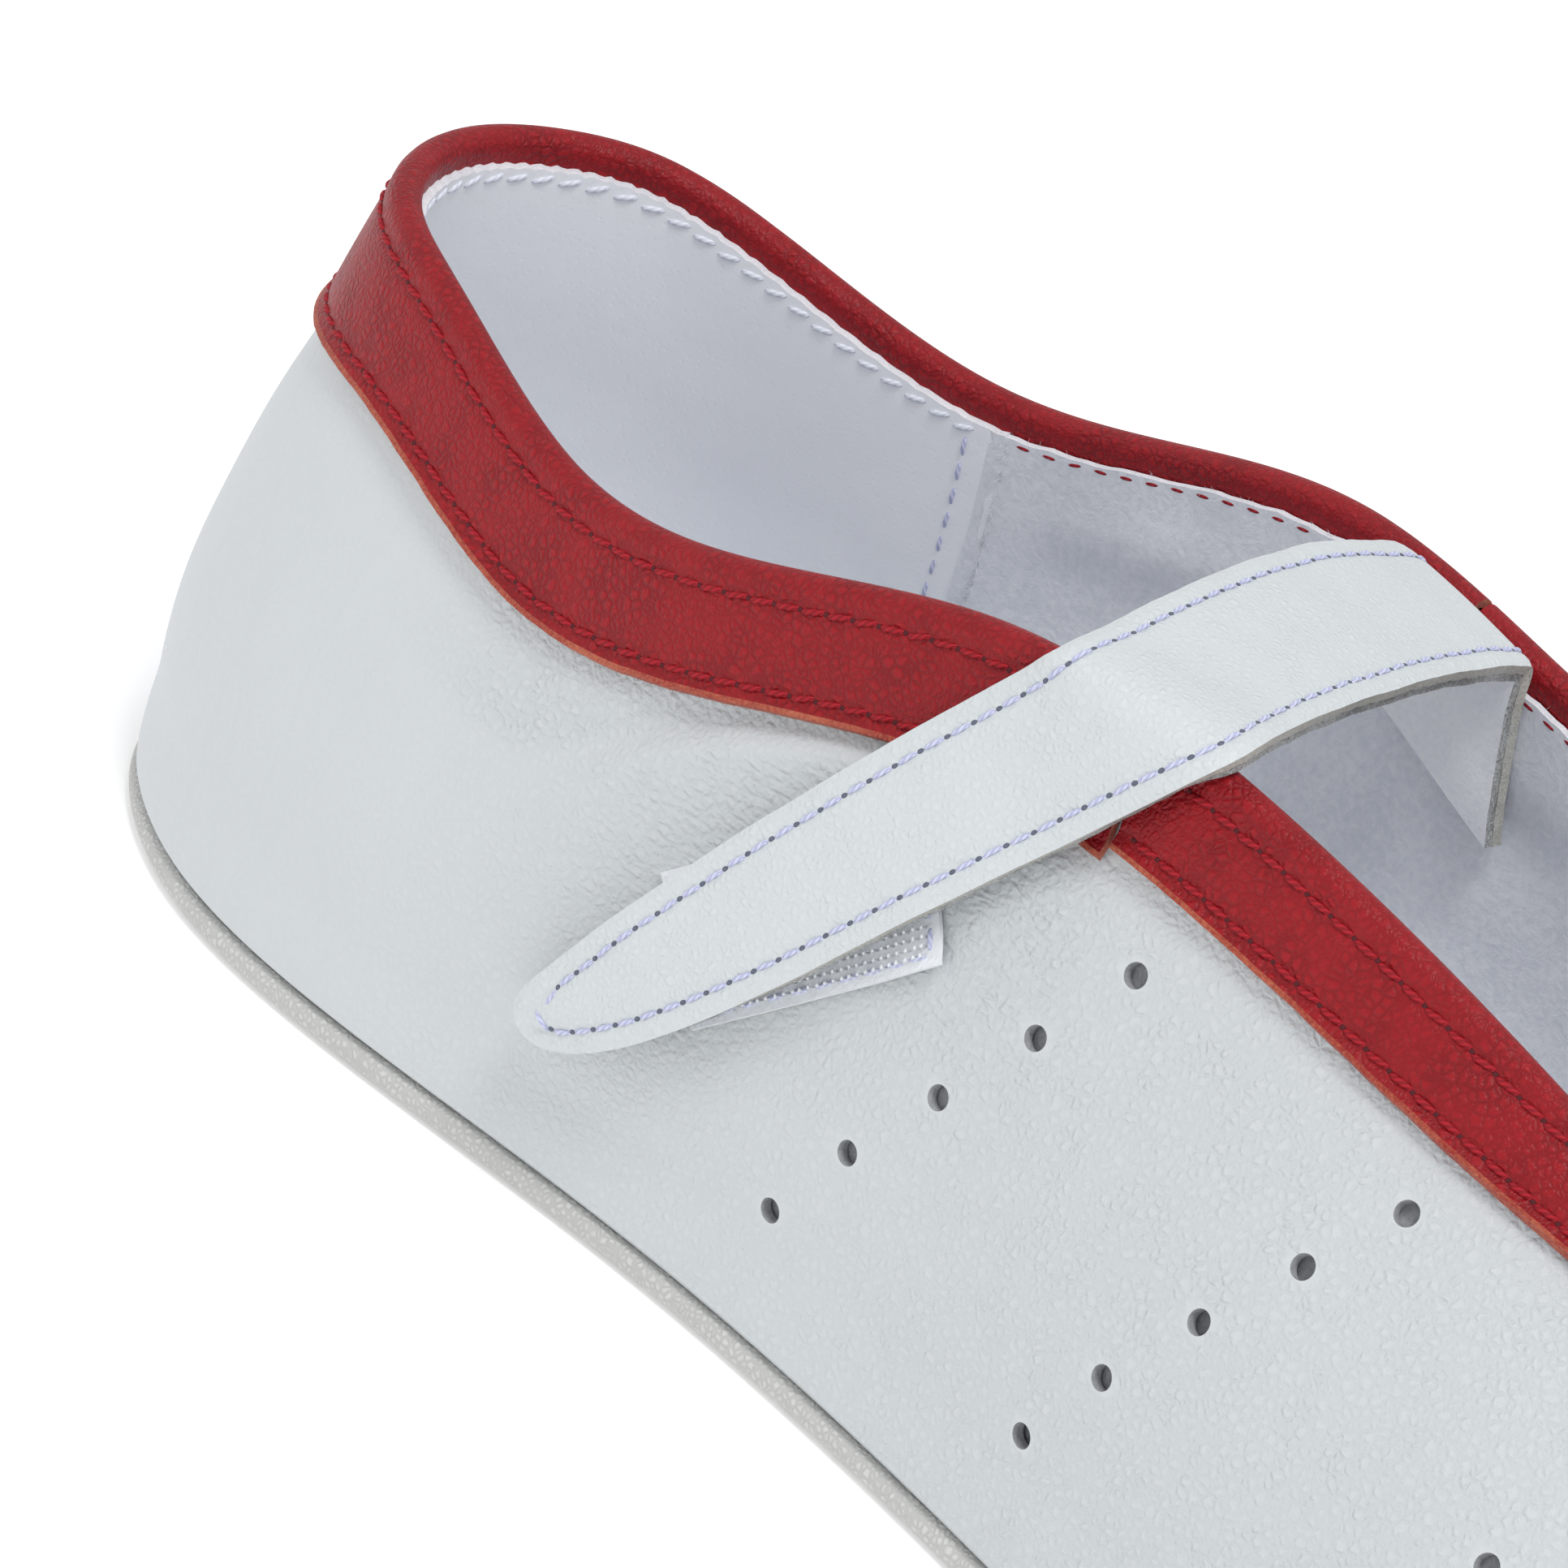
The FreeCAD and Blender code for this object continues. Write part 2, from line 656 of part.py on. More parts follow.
def make_hook_tape():
    """Hook tape sewn on the quarter, turned a little from the strap."""
    grids = []
    for lift in (SKIN_GAP + TAPE, SKIN_GAP):
        rows = []
        for run in span(0.0, HOOK_LENGTH, HOOK_ROWS):
            row = []
            for side in span(-HOOK_WIDTH, 0.0, SIDE_STEPS):
                across = run * math.cos(HOOK_TILT) - side * math.sin(HOOK_TILT)
                forward = run * math.sin(HOOK_TILT) + side * math.cos(HOOK_TILT)
                row.append(quarter_point(HOOK_CORNER[0] + across, HOOK_CORNER[1] + forward, lift)[0])
            rows.append(row)
        grids.append(rows)
    keep("hook_tape", patch_solid(grids[0], grids[1]))


# Fold line inside the inner collar, and the free span: y, rear edge (x, z), front edge (x, z).
FOLD_REAR_X = 95.0 * SCALE_X
FOLD_FRONT_X = 110.0 * SCALE_X
FOLD_RISE = 2.0
FOLD_DEPTH = WALL_STACK + LINING + GLUE
SPAN_ROWS = [
    (21.0, (95.0, 65.0), (110.3, 62.0)), (17.0, (95.3, 66.0), (110.8, 62.9)), (10.0, (96.0, 67.4), (111.7, 64.2)),
    (2.0, (97.0, 68.4), (113.0, 65.5)), (-7.0, (98.5, 69.1), (114.6, 66.6)),
    (-15.0, (99.7, 69.1), (115.9, 67.2)), (-21.5, (100.5, 68.5), (117.1, 67.4)),
]
CREST = [(100.8, 118.0, 87), (100.8, 117.9, 60), (100.5, 117.4, 35), (100.0, 116.6, 10)]
CREST_GAP = 0.55
BRIDGE_END_SHARES = (0.35, 0.7, 1.0)
BRIDGE_GUESS = (0.22, 0.9)
FOLD_GUESS = 0.79


def collar_turn(x, guess):
    """Rib whose collar edge has this x, near a first guess."""
    turn = guess
    for _ in range(30):
        here, along = RIBS[3].getD1(turn % TURN)[0:2]
        turn += (x - here.x) / along.x
    return turn


def fold_point(x, depth, rise):
    edge, normal, up = wall(collar_turn(x, FOLD_GUESS * TURN), 1.0, -depth)
    return edge + Vector(0, 0, rise)


def fold_axis():
    """Two ends of the straight fold line on the strap's grain face."""
    return [fold_point(x, FOLD_DEPTH, FOLD_RISE + GAP) for x in (FOLD_REAR_X, FOLD_FRONT_X)]


def crest_point(x, angle):
    """Grain face of the strap where it turns over the outer collar."""
    edge, normal, up = wall(collar_turn(x, BRIDGE_GUESS[0] * TURN), 1.0)
    centre = edge - normal * (LEATHER / 2)
    reach = LEATHER / 2 + SKIN_GAP + BAND + CREST_GAP + STRAP
    direction = normal * math.cos(math.radians(angle)) + up * math.sin(math.radians(angle))
    return centre + direction * reach


def bridge_grid():
    rear, front = fold_axis()
    rear = rear + Vector(0, -GAP, 0)
    front = front + Vector(0, -GAP, 0)
    rows = [[rear + (front - rear) * share for share in span(0.0, 1.0, SIDE_STEPS)]]
    for y, back, fore in SPAN_ROWS:
        first = Vector(back[0] * SCALE_X, y * SCALE_Y, back[1] * SCALE_Z)
        last = Vector(fore[0] * SCALE_X, y * SCALE_Y, fore[1] * SCALE_Z)
        rows.append([first + (last - first) * share for share in span(0.0, 1.0, SIDE_STEPS)])
    for back, fore, angle in CREST:
        rows.append([crest_point(x * SCALE_X, angle) for x in span(back, fore, SIDE_STEPS)])
    start = rows[-1]
    end_sides = span(TAB_EDGES[0][1], TAB_EDGES[0][2], SIDE_STEPS)
    for share in BRIDGE_END_SHARES:
        row = []
        for first, side in zip(start, end_sides):
            last = TAB_START + TAB_RUN * (TAB_EDGES[0][0] - GAP) + TAB_SIDE * (side * sheet.strap_scale)
            flat = first + (last - first) * share
            turn, climb = wall_at(flat.x, flat.z, BRIDGE_GUESS[0] * TURN, BRIDGE_GUESS[1])
            row.append(wall(turn, climb, TAB_LIFT[0][1])[0])
        rows.append(row)
    return rows


def mitred(grid, depth):
    """Under face of the free span; its first row steps back for the fold."""
    moved = offset_grid(grid, -depth)
    for j, point in enumerate(grid[0]):
        moved[0][j] = point + Vector(0, -depth, -depth)
    return moved


def make_bridge():
    top = bridge_grid()
    keep("strap_bridge_grain", patch_solid(top, mitred(top, PLY)))
    keep("strap_bridge_suede", patch_solid(mitred(top, PLY + SKIN_GAP), mitred(top, STRAP)))
    return top


ROOT_STEPS = [0.0, 0.16, 0.32, 0.48, 0.64, 0.8, 1.0]
ROOT_REAR_DEPTH = 10.0
ROOT_FRONT_DEPTH = 14.5
ROOT_BEND = 0.45


def make_root():
    """End of the strap, sewn flat inside the inner wall below the fold."""
    outer = []
    inner = []
    for share in span(0.0, 1.0, SIDE_STEPS + 2):
        x = FOLD_REAR_X + (FOLD_FRONT_X - FOLD_REAR_X) * share
        turn = collar_turn(x, FOLD_GUESS * TURN)
        depth = ROOT_REAR_DEPTH + (ROOT_FRONT_DEPTH - ROOT_REAR_DEPTH) * share
        near = []
        far = []
        for step in reversed(ROOT_STEPS):
            climb = climb_below(turn, depth * step)
            near.append(wall(turn, climb, -FOLD_DEPTH)[0])
            far.append(wall(turn, climb, -FOLD_DEPTH - STRAP)[0])
        near.append(near[-1] + Vector(0, 0, FOLD_RISE))
        far.append(far[-1] + Vector(0, 0, ROOT_BEND))
        far[-1].z = near[-1].z - STRAP
        outer.append(near)
        inner.append(far)
    keep("strap_root", patch_solid(outer, inner))


STITCH_INSET = 2.0
STITCH_LIFT = THREAD / 2 + 2 * SKIN_GAP
# Turn of the tab's stitch row round the tip (run, side), and the cut back at its ends.
TIP_STITCHES = [(51.6, -1.05), (53.0, -0.45), (53.2, 0.35), (51.9, 1.35)]
TIP_ROWS = 5
ROW_CUT = 0.5
# Stitch row beside each lining seam: rib share from the seam, and its run below the edge.
SEAM_MARGIN = 0.004
SEAM_RUN = (3.0, 40.0)
SEAM_POINTS = 14


def grid_thread(label, grid, column, inner, handed):
    """Thread above one edge column of a grid; inner is the column beside it."""
    points = []
    normals = []
    last = len(grid) - 1
    for i in range(1, last + 1):
        here = grid[i][column]
        across = (grid[i][inner] - here).normalize()
        ahead = grid[min(i + 1, last)][column] - grid[max(i - 1, 1)][column]
        normal = ahead.cross(across).normalize() * handed
        points.append(here + across * STITCH_INSET + normal * STITCH_LIFT)
        normals.append(normal)
    keep(label, tube(points, normals, THREAD / 2))


def make_tab_thread():
    """Thread down one edge of the tab, round the tip and back."""
    rear = [(row[0], row[1] * sheet.strap_scale + STITCH_INSET) for row in TAB_EDGES[:-TIP_ROWS]]
    front = [(row[0], row[2] * sheet.strap_scale - STITCH_INSET) for row in TAB_EDGES[:-TIP_ROWS]]
    tip = [(run, side * sheet.strap_scale) for run, side in TIP_STITCHES]
    path = rear + tip + list(reversed(front))
    path[0] = (path[0][0] + ROW_CUT, path[0][1])
    path[-1] = (path[-1][0] + ROW_CUT, path[-1][1])
    places = [quarter_point(run, side, between(TAB_LIFT, run) + STITCH_LIFT) for run, side in path]
    keep("strap_tab_thread", tube([place[0] for place in places], [place[1] for place in places], THREAD / 2))


def make_seam_threads():
    """Row of thread beside each lining seam."""
    for label, share in (("seam_thread_outer", SEAM - SEAM_MARGIN), ("seam_thread_inner", 1 - SEAM + SEAM_MARGIN)):
        points = []
        normals = []
        turn = share * TURN
        for below in span(SEAM_RUN[0], SEAM_RUN[1], SEAM_POINTS):
            climb = climb_below(turn, below)
            point, normal, up = wall(turn, climb, -WALL_STACK - LINING - THREAD / 2 - SKIN_GAP)
            points.append(point)
            normals.append(normal * -1)
        keep(label, tube(points, normals, THREAD / 2))


make_outsole()
make_bottom_layers()
make_upper()
make_inner_layers()
make_bands()
make_hook_tape()
make_tab()
bridge = make_bridge()
make_root()
grid_thread("strap_bridge_thread_rear", bridge, 0, 1, 1)
grid_thread("strap_bridge_thread_front", bridge, SIDE_STEPS - 1, SIDE_STEPS - 2, -1)
make_tab_thread()
make_seam_threads()

doc.recompute()
NODES = [item for item in doc.Objects if hasattr(item, "Shape") and not item.Name.endswith("_outline")]
for item in doc.Objects:
    if "Invalid" in item.State or "Error" in item.State:
        raise RuntimeError("bad state: " + item.Label)
bad = []
for item in NODES:
    shape = item.Shape
    if shape.isNull() or not shape.isValid() or len(shape.Solids) != 1 or shape.Volume <= 0:
        bad.append("%s null=%s valid=%s solids=%d" % (
            item.Label, shape.isNull(), shape.isValid(), len(shape.Solids)))
if bad:
    raise RuntimeError("bad shapes: " + "; ".join(bad))
for item in NODES:
    item.Shape.exportStep("parts/" + item.Label + ".step")
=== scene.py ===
import math
from contextlib import contextmanager

import bpy
import numpy as np
from mathutils import Matrix, Vector


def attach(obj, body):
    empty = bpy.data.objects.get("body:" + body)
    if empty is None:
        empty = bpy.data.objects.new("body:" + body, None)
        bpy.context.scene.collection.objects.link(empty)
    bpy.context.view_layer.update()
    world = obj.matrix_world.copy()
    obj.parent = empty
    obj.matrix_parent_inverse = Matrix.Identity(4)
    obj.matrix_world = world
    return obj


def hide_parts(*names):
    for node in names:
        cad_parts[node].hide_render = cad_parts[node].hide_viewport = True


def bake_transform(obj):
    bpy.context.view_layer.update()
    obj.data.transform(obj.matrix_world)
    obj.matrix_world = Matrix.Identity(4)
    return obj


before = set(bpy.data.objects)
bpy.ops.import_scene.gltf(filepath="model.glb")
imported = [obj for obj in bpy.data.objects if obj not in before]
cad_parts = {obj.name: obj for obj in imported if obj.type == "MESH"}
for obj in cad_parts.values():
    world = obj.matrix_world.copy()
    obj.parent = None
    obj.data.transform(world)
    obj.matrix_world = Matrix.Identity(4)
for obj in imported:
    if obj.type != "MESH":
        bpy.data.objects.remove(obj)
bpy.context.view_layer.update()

# Drawing measures are millimetres with x from the heel; home() brings them to the shared frame.
MM = 0.001
LENGTH = 276.0
HALF = LENGTH / 2
random = np.random.default_rng(17)


def home(points):
    return (np.asarray(points, float) - (HALF, 0.0, 0.0)) * MM


# --- Camera --------------------------------------------------------------------------------

TURN_AROUND = math.radians(34.23)
LOOK_DOWN = math.radians(25.42)
ROLL = math.radians(-18.4)
DISTANCE = 653.0


def add_camera():
    back = Vector((math.sin(TURN_AROUND) * math.cos(LOOK_DOWN),
                   -math.cos(TURN_AROUND) * math.cos(LOOK_DOWN), math.sin(LOOK_DOWN)))
    level = Vector((math.cos(TURN_AROUND), math.sin(TURN_AROUND), 0))
    rise = back.cross(level)
    right = level * math.cos(ROLL) - rise * math.sin(ROLL)
    up = level * math.sin(ROLL) + rise * math.cos(ROLL)
    middle = Vector((70 - HALF, 0, 35))
    place = middle + back * DISTANCE
    aim = middle - right * 9.39 - up * 2.87
    toward = (place - aim).normalized()
    right = up.cross(toward).normalized()
    up = toward.cross(right)
    camera = bpy.data.cameras.new("camera")
    camera.lens = 183.9
    camera.sensor_width = 36
    camera.clip_start = 0.01
    camera.clip_end = 20
    holder = bpy.data.objects.new("camera", camera)
    bpy.context.scene.collection.objects.link(holder)
    pose = Matrix((right, up, toward)).transposed().to_4x4()
    pose.translation = place * MM
    holder.matrix_world = pose
    bpy.context.scene.camera = holder


add_camera()

# --- Form of the shoe ------------------------------------------------------------------------

SOLE = 3.2
RIM = 1.4
LEATHER = 1.1
LINING = 0.8
STIFF = 0.8
BAND = 0.85
GLUE = 0.05
SKIN_GAP = 0.02
WALL_FOOT = SOLE + 1.0
WALL_STACK = LEATHER + STIFF + 2 * GLUE

OUTLINE = [
    (0, 0), (3, -12), (10, -21), (25, -30), (45, -33.5), (67, -33.5), (90, -34),
    (120, -38), (150, -44), (180, -48), (207, -47), (233, -39.5), (254, -26), (269, -10),
    (276, 7), (271, 24), (254, 37), (230, 45), (205, 47), (180, 43.5), (150, 34.5),
    (120, 28), (90, 27), (65, 30), (45, 32), (25, 29.5), (10, 21), (3, 12),
]
COLLAR = [
    (9, 0, 59.9), (11.5, -9.5, 59.7), (17.5, -16.5, 59.1), (30, -21.8, 57.1),
    (49, -26.4, 52.9), (69, -28.3, 55.7), (90, -26.8, 62.3), (112, -26.6, 63.8),
    (133, -25.8, 60.4), (152, -24.6, 55.7), (168, -22.5, 50.9), (181, -18.5, 47.1),
    (190, -12.5, 45), (194.5, -5, 43.8), (196, 2.5, 43.4), (194, 9.5, 43.8),
    (188, 15.5, 45), (177, 20, 47.8), (162, 22.8, 51.2), (146, 24.3, 54.4),
    (128, 25.6, 57.2), (110, 26.6, 59.4), (88, 27.6, 61.6), (68, 28, 56.9),
    (49, 26.6, 52.9), (30, 22.2, 55.9), (17.5, 16.8, 58.9), (11.5, 9.6, 59.7),
]
QUARTER_RIB = {"rise": 0.36, "bulge": 4.8, "reach": 0.0, "lean": 3.4, "drop": 0.36}
TOE_RIB = {"rise": 0.58, "bulge": 1.5, "reach": 0.55, "lean": 0.0, "drop": 0.30}


def smooth(value, low, high):
    share = np.clip((value - low) / (high - low), 0.0, 1.0)
    return share * share * (3 - 2 * share)


def unit(vectors):
    return vectors / np.linalg.norm(vectors, axis=-1, keepdims=True)


def reading(table, value):
    """Straight-line reading of a two-column table."""
    columns = np.array(table, float).T
    return np.interp(value, columns[0], columns[1])


def run_along(points):
    """Distance travelled along a row of points."""
    return np.concatenate([[0.0], np.cumsum(np.linalg.norm(np.diff(points, axis=0), axis=1))])


def follow_line(points):
    """Reader of a broken line by its share of the length."""
    points = np.array(points, float)
    run = run_along(points)
    return lambda share: np.stack([np.interp(share * run[-1], run, column) for column in points.T], -1)


class Curve:
    """Smooth curve through points at given knots, closed or open."""

    def __init__(self, knots, points, closed):
        self.knots = np.asarray(knots, float)
        self.points = np.asarray(points, float)
        self.steps = np.diff(self.knots)
        count = len(self.points)
        matrix = np.zeros((count, count))
        right = np.zeros(self.points.shape)
        self.closed = closed
        for i in range(count):
            before = i - 1 if closed or i > 0 else None
            after = (i + 1) % count if closed or i < count - 1 else None
            if before is not None:
                step = self.steps[before]
                matrix[i, before] += 1 / step
                matrix[i, i] += 2 / step
                right[i] += 3 * (self.points[i] - self.points[before]) / step ** 2
            if after is not None:
                step = self.steps[i]
                matrix[i, after] += 1 / step
                matrix[i, i] += 2 / step
                right[i] += 3 * (self.points[after] - self.points[i]) / step ** 2
        self.slopes = np.linalg.solve(matrix, right)

    def at(self, turn):
        """Points and directions at knot values."""
        turn = np.asarray(turn, float)
        if self.closed:
            turn = np.mod(turn, self.knots[-1])
        piece = np.clip(np.searchsorted(self.knots, turn, side="right") - 1, 0, len(self.steps) - 1)
        follow = (piece + 1) % len(self.points)
        step = self.steps[piece][..., None]
        u = (turn - self.knots[piece])[..., None] / step
        start, stop = self.points[piece], self.points[follow]
        leave, arrive = self.slopes[piece] * step, self.slopes[follow] * step
        point = (start * (1 + 2 * u) * (1 - u) ** 2 + leave * u * (1 - u) ** 2
                 + stop * u * u * (3 - 2 * u) + arrive * u * u * (u - 1))
        along = (start * (6 * u * u - 6 * u) + leave * (1 - 4 * u + 3 * u * u)
                 + stop * (6 * u - 6 * u * u) + arrive * (3 * u * u - 2 * u)) / step
        return point, along


def root_chord_knots(points):
    ring = np.vstack([points, points[:1]])
    return np.concatenate([[0.0], np.cumsum(np.sqrt(np.linalg.norm(np.diff(ring, axis=0), axis=1)))])


KNOTS = root_chord_knots(np.array(OUTLINE, float))
ROUND = KNOTS[-1]
SOLE_LINE = Curve(KNOTS, [(x, y, 0) for x, y in OUTLINE], True)


def sole_edge(share):
    """Point of the sole's outline and its outward direction; share runs 0 to 1 round the shoe."""
    point, along = SOLE_LINE.at(np.asarray(share) * ROUND)
    outward = np.stack([along[..., 1], -along[..., 0], np.zeros(along.shape[:-1])], -1)
    return point, unit(outward)


def make_ribs():
    edge, outward = sole_edge(KNOTS[:-1] / ROUND)
    top = np.array(COLLAR, float)
    foot = edge - outward * RIM
    foot[:, 2] = WALL_FOOT
    toe = smooth(edge[:, 0], 110.0, 250.0)
    rib = {key: (QUARTER_RIB[key] + (TOE_RIB[key] - QUARTER_RIB[key]) * toe)[:, None] for key in TOE_RIB}
    height = np.zeros(top.shape)
    height[:, 2] = top[:, 2] - WALL_FOOT
    back = (foot - top) * (1, 1, 0)
    low = foot + outward * rib["bulge"] + height * rib["rise"]
    high = top + back * rib["reach"] + outward * rib["lean"] - height * rib["drop"]
    return [Curve(KNOTS, row, True) for row in (foot, low, high, top)]


RIBS = make_ribs()


def skin(share, climb, out=0.0):
    """Outer skin of the upper: point, outward normal and direction up the wall."""
    share, climb, out = np.broadcast_arrays(np.asarray(share, float), climb, out)
    rest = 1 - climb
    weights = (rest ** 3, 3 * rest * rest * climb, 3 * rest * climb * climb, climb ** 3)
    slopes = (-3 * rest * rest, 3 * rest * rest - 6 * rest * climb,
              6 * rest * climb - 3 * climb * climb, 3 * climb * climb)
    point = along = up = 0.0
    for rib, weight, slope in zip(RIBS, weights, slopes):
        place, direction = rib.at(share * ROUND)
        point = point + place * weight[..., None]
        along = along + direction * weight[..., None]
        up = up + place * slope[..., None]
    normal = unit(np.cross(along, up))
    return point + normal * out[..., None], normal, unit(up)


TABLE_SHARES = 721
TABLE_CLIMBS = 81
DEPTHS_PER_MM = 4
TABLE_DEPTHS = np.linspace(0.0, 60.0, 60 * DEPTHS_PER_MM + 1)


def measure_walls():
    """Distance below the collar edge for every height share, and the other way round."""
    shares = np.linspace(0, 1, TABLE_SHARES)
    climbs = np.linspace(1, 0, TABLE_CLIMBS)
    points = skin(shares[:, None], climbs[None, :])[0]
    steps = np.linalg.norm(np.diff(points, axis=1), axis=2)
    depth = np.concatenate([np.zeros((TABLE_SHARES, 1)), np.cumsum(steps, axis=1)], axis=1)
    climb = np.array([np.interp(TABLE_DEPTHS, row, climbs) for row in depth])
    return depth[:, ::-1], climb


DEPTH_TABLE, CLIMB_TABLE = measure_walls()


def read_table(table, row, column):
    row = np.clip(row, 0, table.shape[0] - 1.0001)
    column = np.clip(column, 0, table.shape[1] - 1.0001)
    i, j = row.astype(int), column.astype(int)
    u, v = row - i, column - j
    return ((table[i, j] * (1 - v) + table[i, j + 1] * v) * (1 - u)
            + (table[i + 1, j] * (1 - v) + table[i + 1, j + 1] * v) * u)


def climb_at(share, below):
    """Height share at a distance (mm) below the collar edge."""
    share, below = np.broadcast_arrays(np.mod(np.asarray(share, float), 1.0), np.asarray(below, float))
    return read_table(CLIMB_TABLE, share * (TABLE_SHARES - 1), below * DEPTHS_PER_MM)


def below_at(share, climb):
    """Distance (mm) below the collar edge at a height share."""
    share, climb = np.broadcast_arrays(np.mod(np.asarray(share, float), 1.0), np.asarray(climb, float))
    return read_table(DEPTH_TABLE, share * (TABLE_SHARES - 1), climb * (TABLE_CLIMBS - 1))


def find_on_side(x, z, share, climb):
    """Rib and height share of the skin points with these x and z, near a first guess."""
    x, z = np.broadcast_arrays(np.asarray(x, float), z)
    share = np.full(x.shape, share)
    climb = np.full(x.shape, climb)
    nudge = 1e-4
    for _ in range(30):
        here = skin(share, climb)[0]
        by_share = (skin(share + nudge, climb)[0] - here) / nudge
        by_climb = (skin(share, climb + nudge)[0] - here) / nudge
        miss_x, miss_z = x - here[..., 0], z - here[..., 2]
        spread = by_share[..., 0] * by_climb[..., 2] - by_climb[..., 0] * by_share[..., 2]
        share = share + (miss_x * by_climb[..., 2] - by_climb[..., 0] * miss_z) / spread
        climb = climb + (by_share[..., 0] * miss_z - miss_x * by_share[..., 2]) / spread
        climb = np.clip(climb, 0.0, 0.995)
    return share, climb


def collar_share(x, guess):
    """Rib whose collar edge has this x, near a first guess."""
    share = np.full(np.shape(x), guess)
    for _ in range(30):
        here, along = RIBS[3].at(share * ROUND)
        share = share + (x - here[..., 0]) / (along[..., 0] * ROUND)
    return share


# Upper edge of the soft pillow in the outer quarter: x, and distance below the collar.
PILLOW_LINE = [(58, 20.5), (64, 17.0), (70, 13.8), (76, 12.0), (85, 11.1), (95, 10.7), (125, 10.7)]


def slack(share, climb):
    """How far the soft leather stands off the drawn form, in mm."""
    point = skin(share, climb)[0]
    x, z = point[..., 0], point[..., 2]
    below = below_at(share, climb)
    free = smooth(below, 10.0, 13.0) * smooth(climb, 0.02, 0.2)
    outer = 1.0 * (share < 0.5)
    line = reading(PILLOW_LINE, x)
    past = below - line
    window = smooth(x, 59, 72) * (1 - smooth(x, 92, 122)) * outer
    pillow = 1.25 * smooth(past, -0.3, 2.3) * np.exp(-(np.maximum(past - 2.3, 0) / 9.5) ** 2) * window
    hollow = -0.45 * np.exp(-((past + 1.6) / 1.8) ** 2) * window * (1 - smooth(x, 76, 90)) * smooth(below, 9, 11)
    waves = (0.16 * np.sin(x / 9.0 + z / 13.0) * np.sin(z / 8.0 - x / 21.0 + 1.1)
             + 0.09 * np.sin(x / 4.3 - z / 6.1 + 0.7) * np.sin(z / 4.6 + x / 13.0))
    toe = smooth(x, 180, 215)
    return pillow + hollow + waves * free * (1 - 0.6 * toe)


def soft_skin(share, climb, out=0.0):
    """The skin with its slack, rolled down over the rim of the sole at its foot."""
    foot = 1 - smooth(climb, 0.0, 0.13)
    point, normal, up = skin(share, climb, out + slack(share, climb) + 1.15 * foot)
    point[..., 2] -= 1.35 * foot * foot
    return point, normal, up


# --- Making pieces ---------------------------------------------------------------------------


def spots_of(piece):
    spots = np.empty(len(piece.data.vertices) * 3)
    piece.data.vertices.foreach_get("co", spots)
    return spots.reshape(-1, 3)


def set_spots(piece, spots):
    piece.data.vertices.foreach_set("co", np.ascontiguousarray(spots, dtype=np.float32).ravel())
    piece.data.update()


def alone(piece):
    bpy.ops.object.select_all(action="DESELECT")
    piece.select_set(True)
    bpy.context.view_layer.objects.active = piece


def start_from(primitive, name, **settings):
    """A new primitive under its own name, with nothing else selected."""
    bpy.ops.object.select_all(action="DESELECT")
    primitive(**settings)
    piece = bpy.context.object
    piece.name = piece.data.name = name
    return piece


@contextmanager
def editing(piece):
    """Work on the whole of a piece in edit mode."""
    alone(piece)
    bpy.ops.object.mode_set(mode="EDIT")
    bpy.ops.mesh.select_all(action="SELECT")
    yield
    bpy.ops.object.mode_set(mode="OBJECT")


def note(piece, name, values):
    """Attribute on the points of a piece, one number or three."""
    kind = "FLOAT" if values.ndim == 1 else "FLOAT_VECTOR"
    field = piece.data.attributes.new(name, kind, "POINT")
    field.data.foreach_set("value" if values.ndim == 1 else "vector", values.astype(np.float32).ravel())


def cut_sheet(name, along, across, place, lay=None):
    """Sheet laid out as a grid and put in place; place and lay read (0..1, 0..1)."""
    piece = start_from(bpy.ops.mesh.primitive_grid_add, name, x_subdivisions=along, y_subdivisions=across, size=1.0)
    spots = spots_of(piece) + 0.5
    first, second = spots[:, 0], spots[:, 1]
    set_spots(piece, home(place(first, second)))
    if lay is not None:
        note(piece, "lay", lay(first, second))
    return piece


def finish_modifier(piece, kind, **settings):
    alone(piece)
    modifier = piece.modifiers.new(kind.lower(), kind)
    for key, value in settings.items():
        setattr(modifier, key, value)
    bpy.ops.object.modifier_apply(modifier=modifier.name)


def thicken(piece, thickness, rim=0, under=0):
    """Give a sheet its thickness behind its face; rim and under pick later materials."""
    finish_modifier(piece, "SOLIDIFY", thickness=thickness * MM, offset=-1.0, use_rim=True,
                    material_offset_rim=rim, material_offset=under)


def join_ends(piece):
    with editing(piece):
        bpy.ops.mesh.remove_doubles(threshold=1e-6)


def smooth_faces(piece, degrees=42):
    alone(piece)
    bpy.ops.object.shade_smooth_by_angle(angle=math.radians(degrees))


def dress(piece, finishes):
    for finish in finishes:
        piece.data.materials.append(finish)


class Track:
    """Path on a surface, measured along its length, with its upward directions."""

    def __init__(self, points, ups):
        self.points = points
        self.ups = ups
        self.run = run_along(points)
        self.length = self.run[-1]

    def read(self, rows, distance):
        return np.stack([np.interp(distance, self.run, rows[:, k]) for k in range(3)], -1)

    def frames(self, distance):
        point = self.read(self.points, distance)
        ahead = unit(self.read(self.points, distance + 0.15) - self.read(self.points, distance - 0.15))
        up = self.read(self.ups, distance)
        up = unit(up - ahead * np.sum(up * ahead, -1, keepdims=True))
        return point, ahead, up


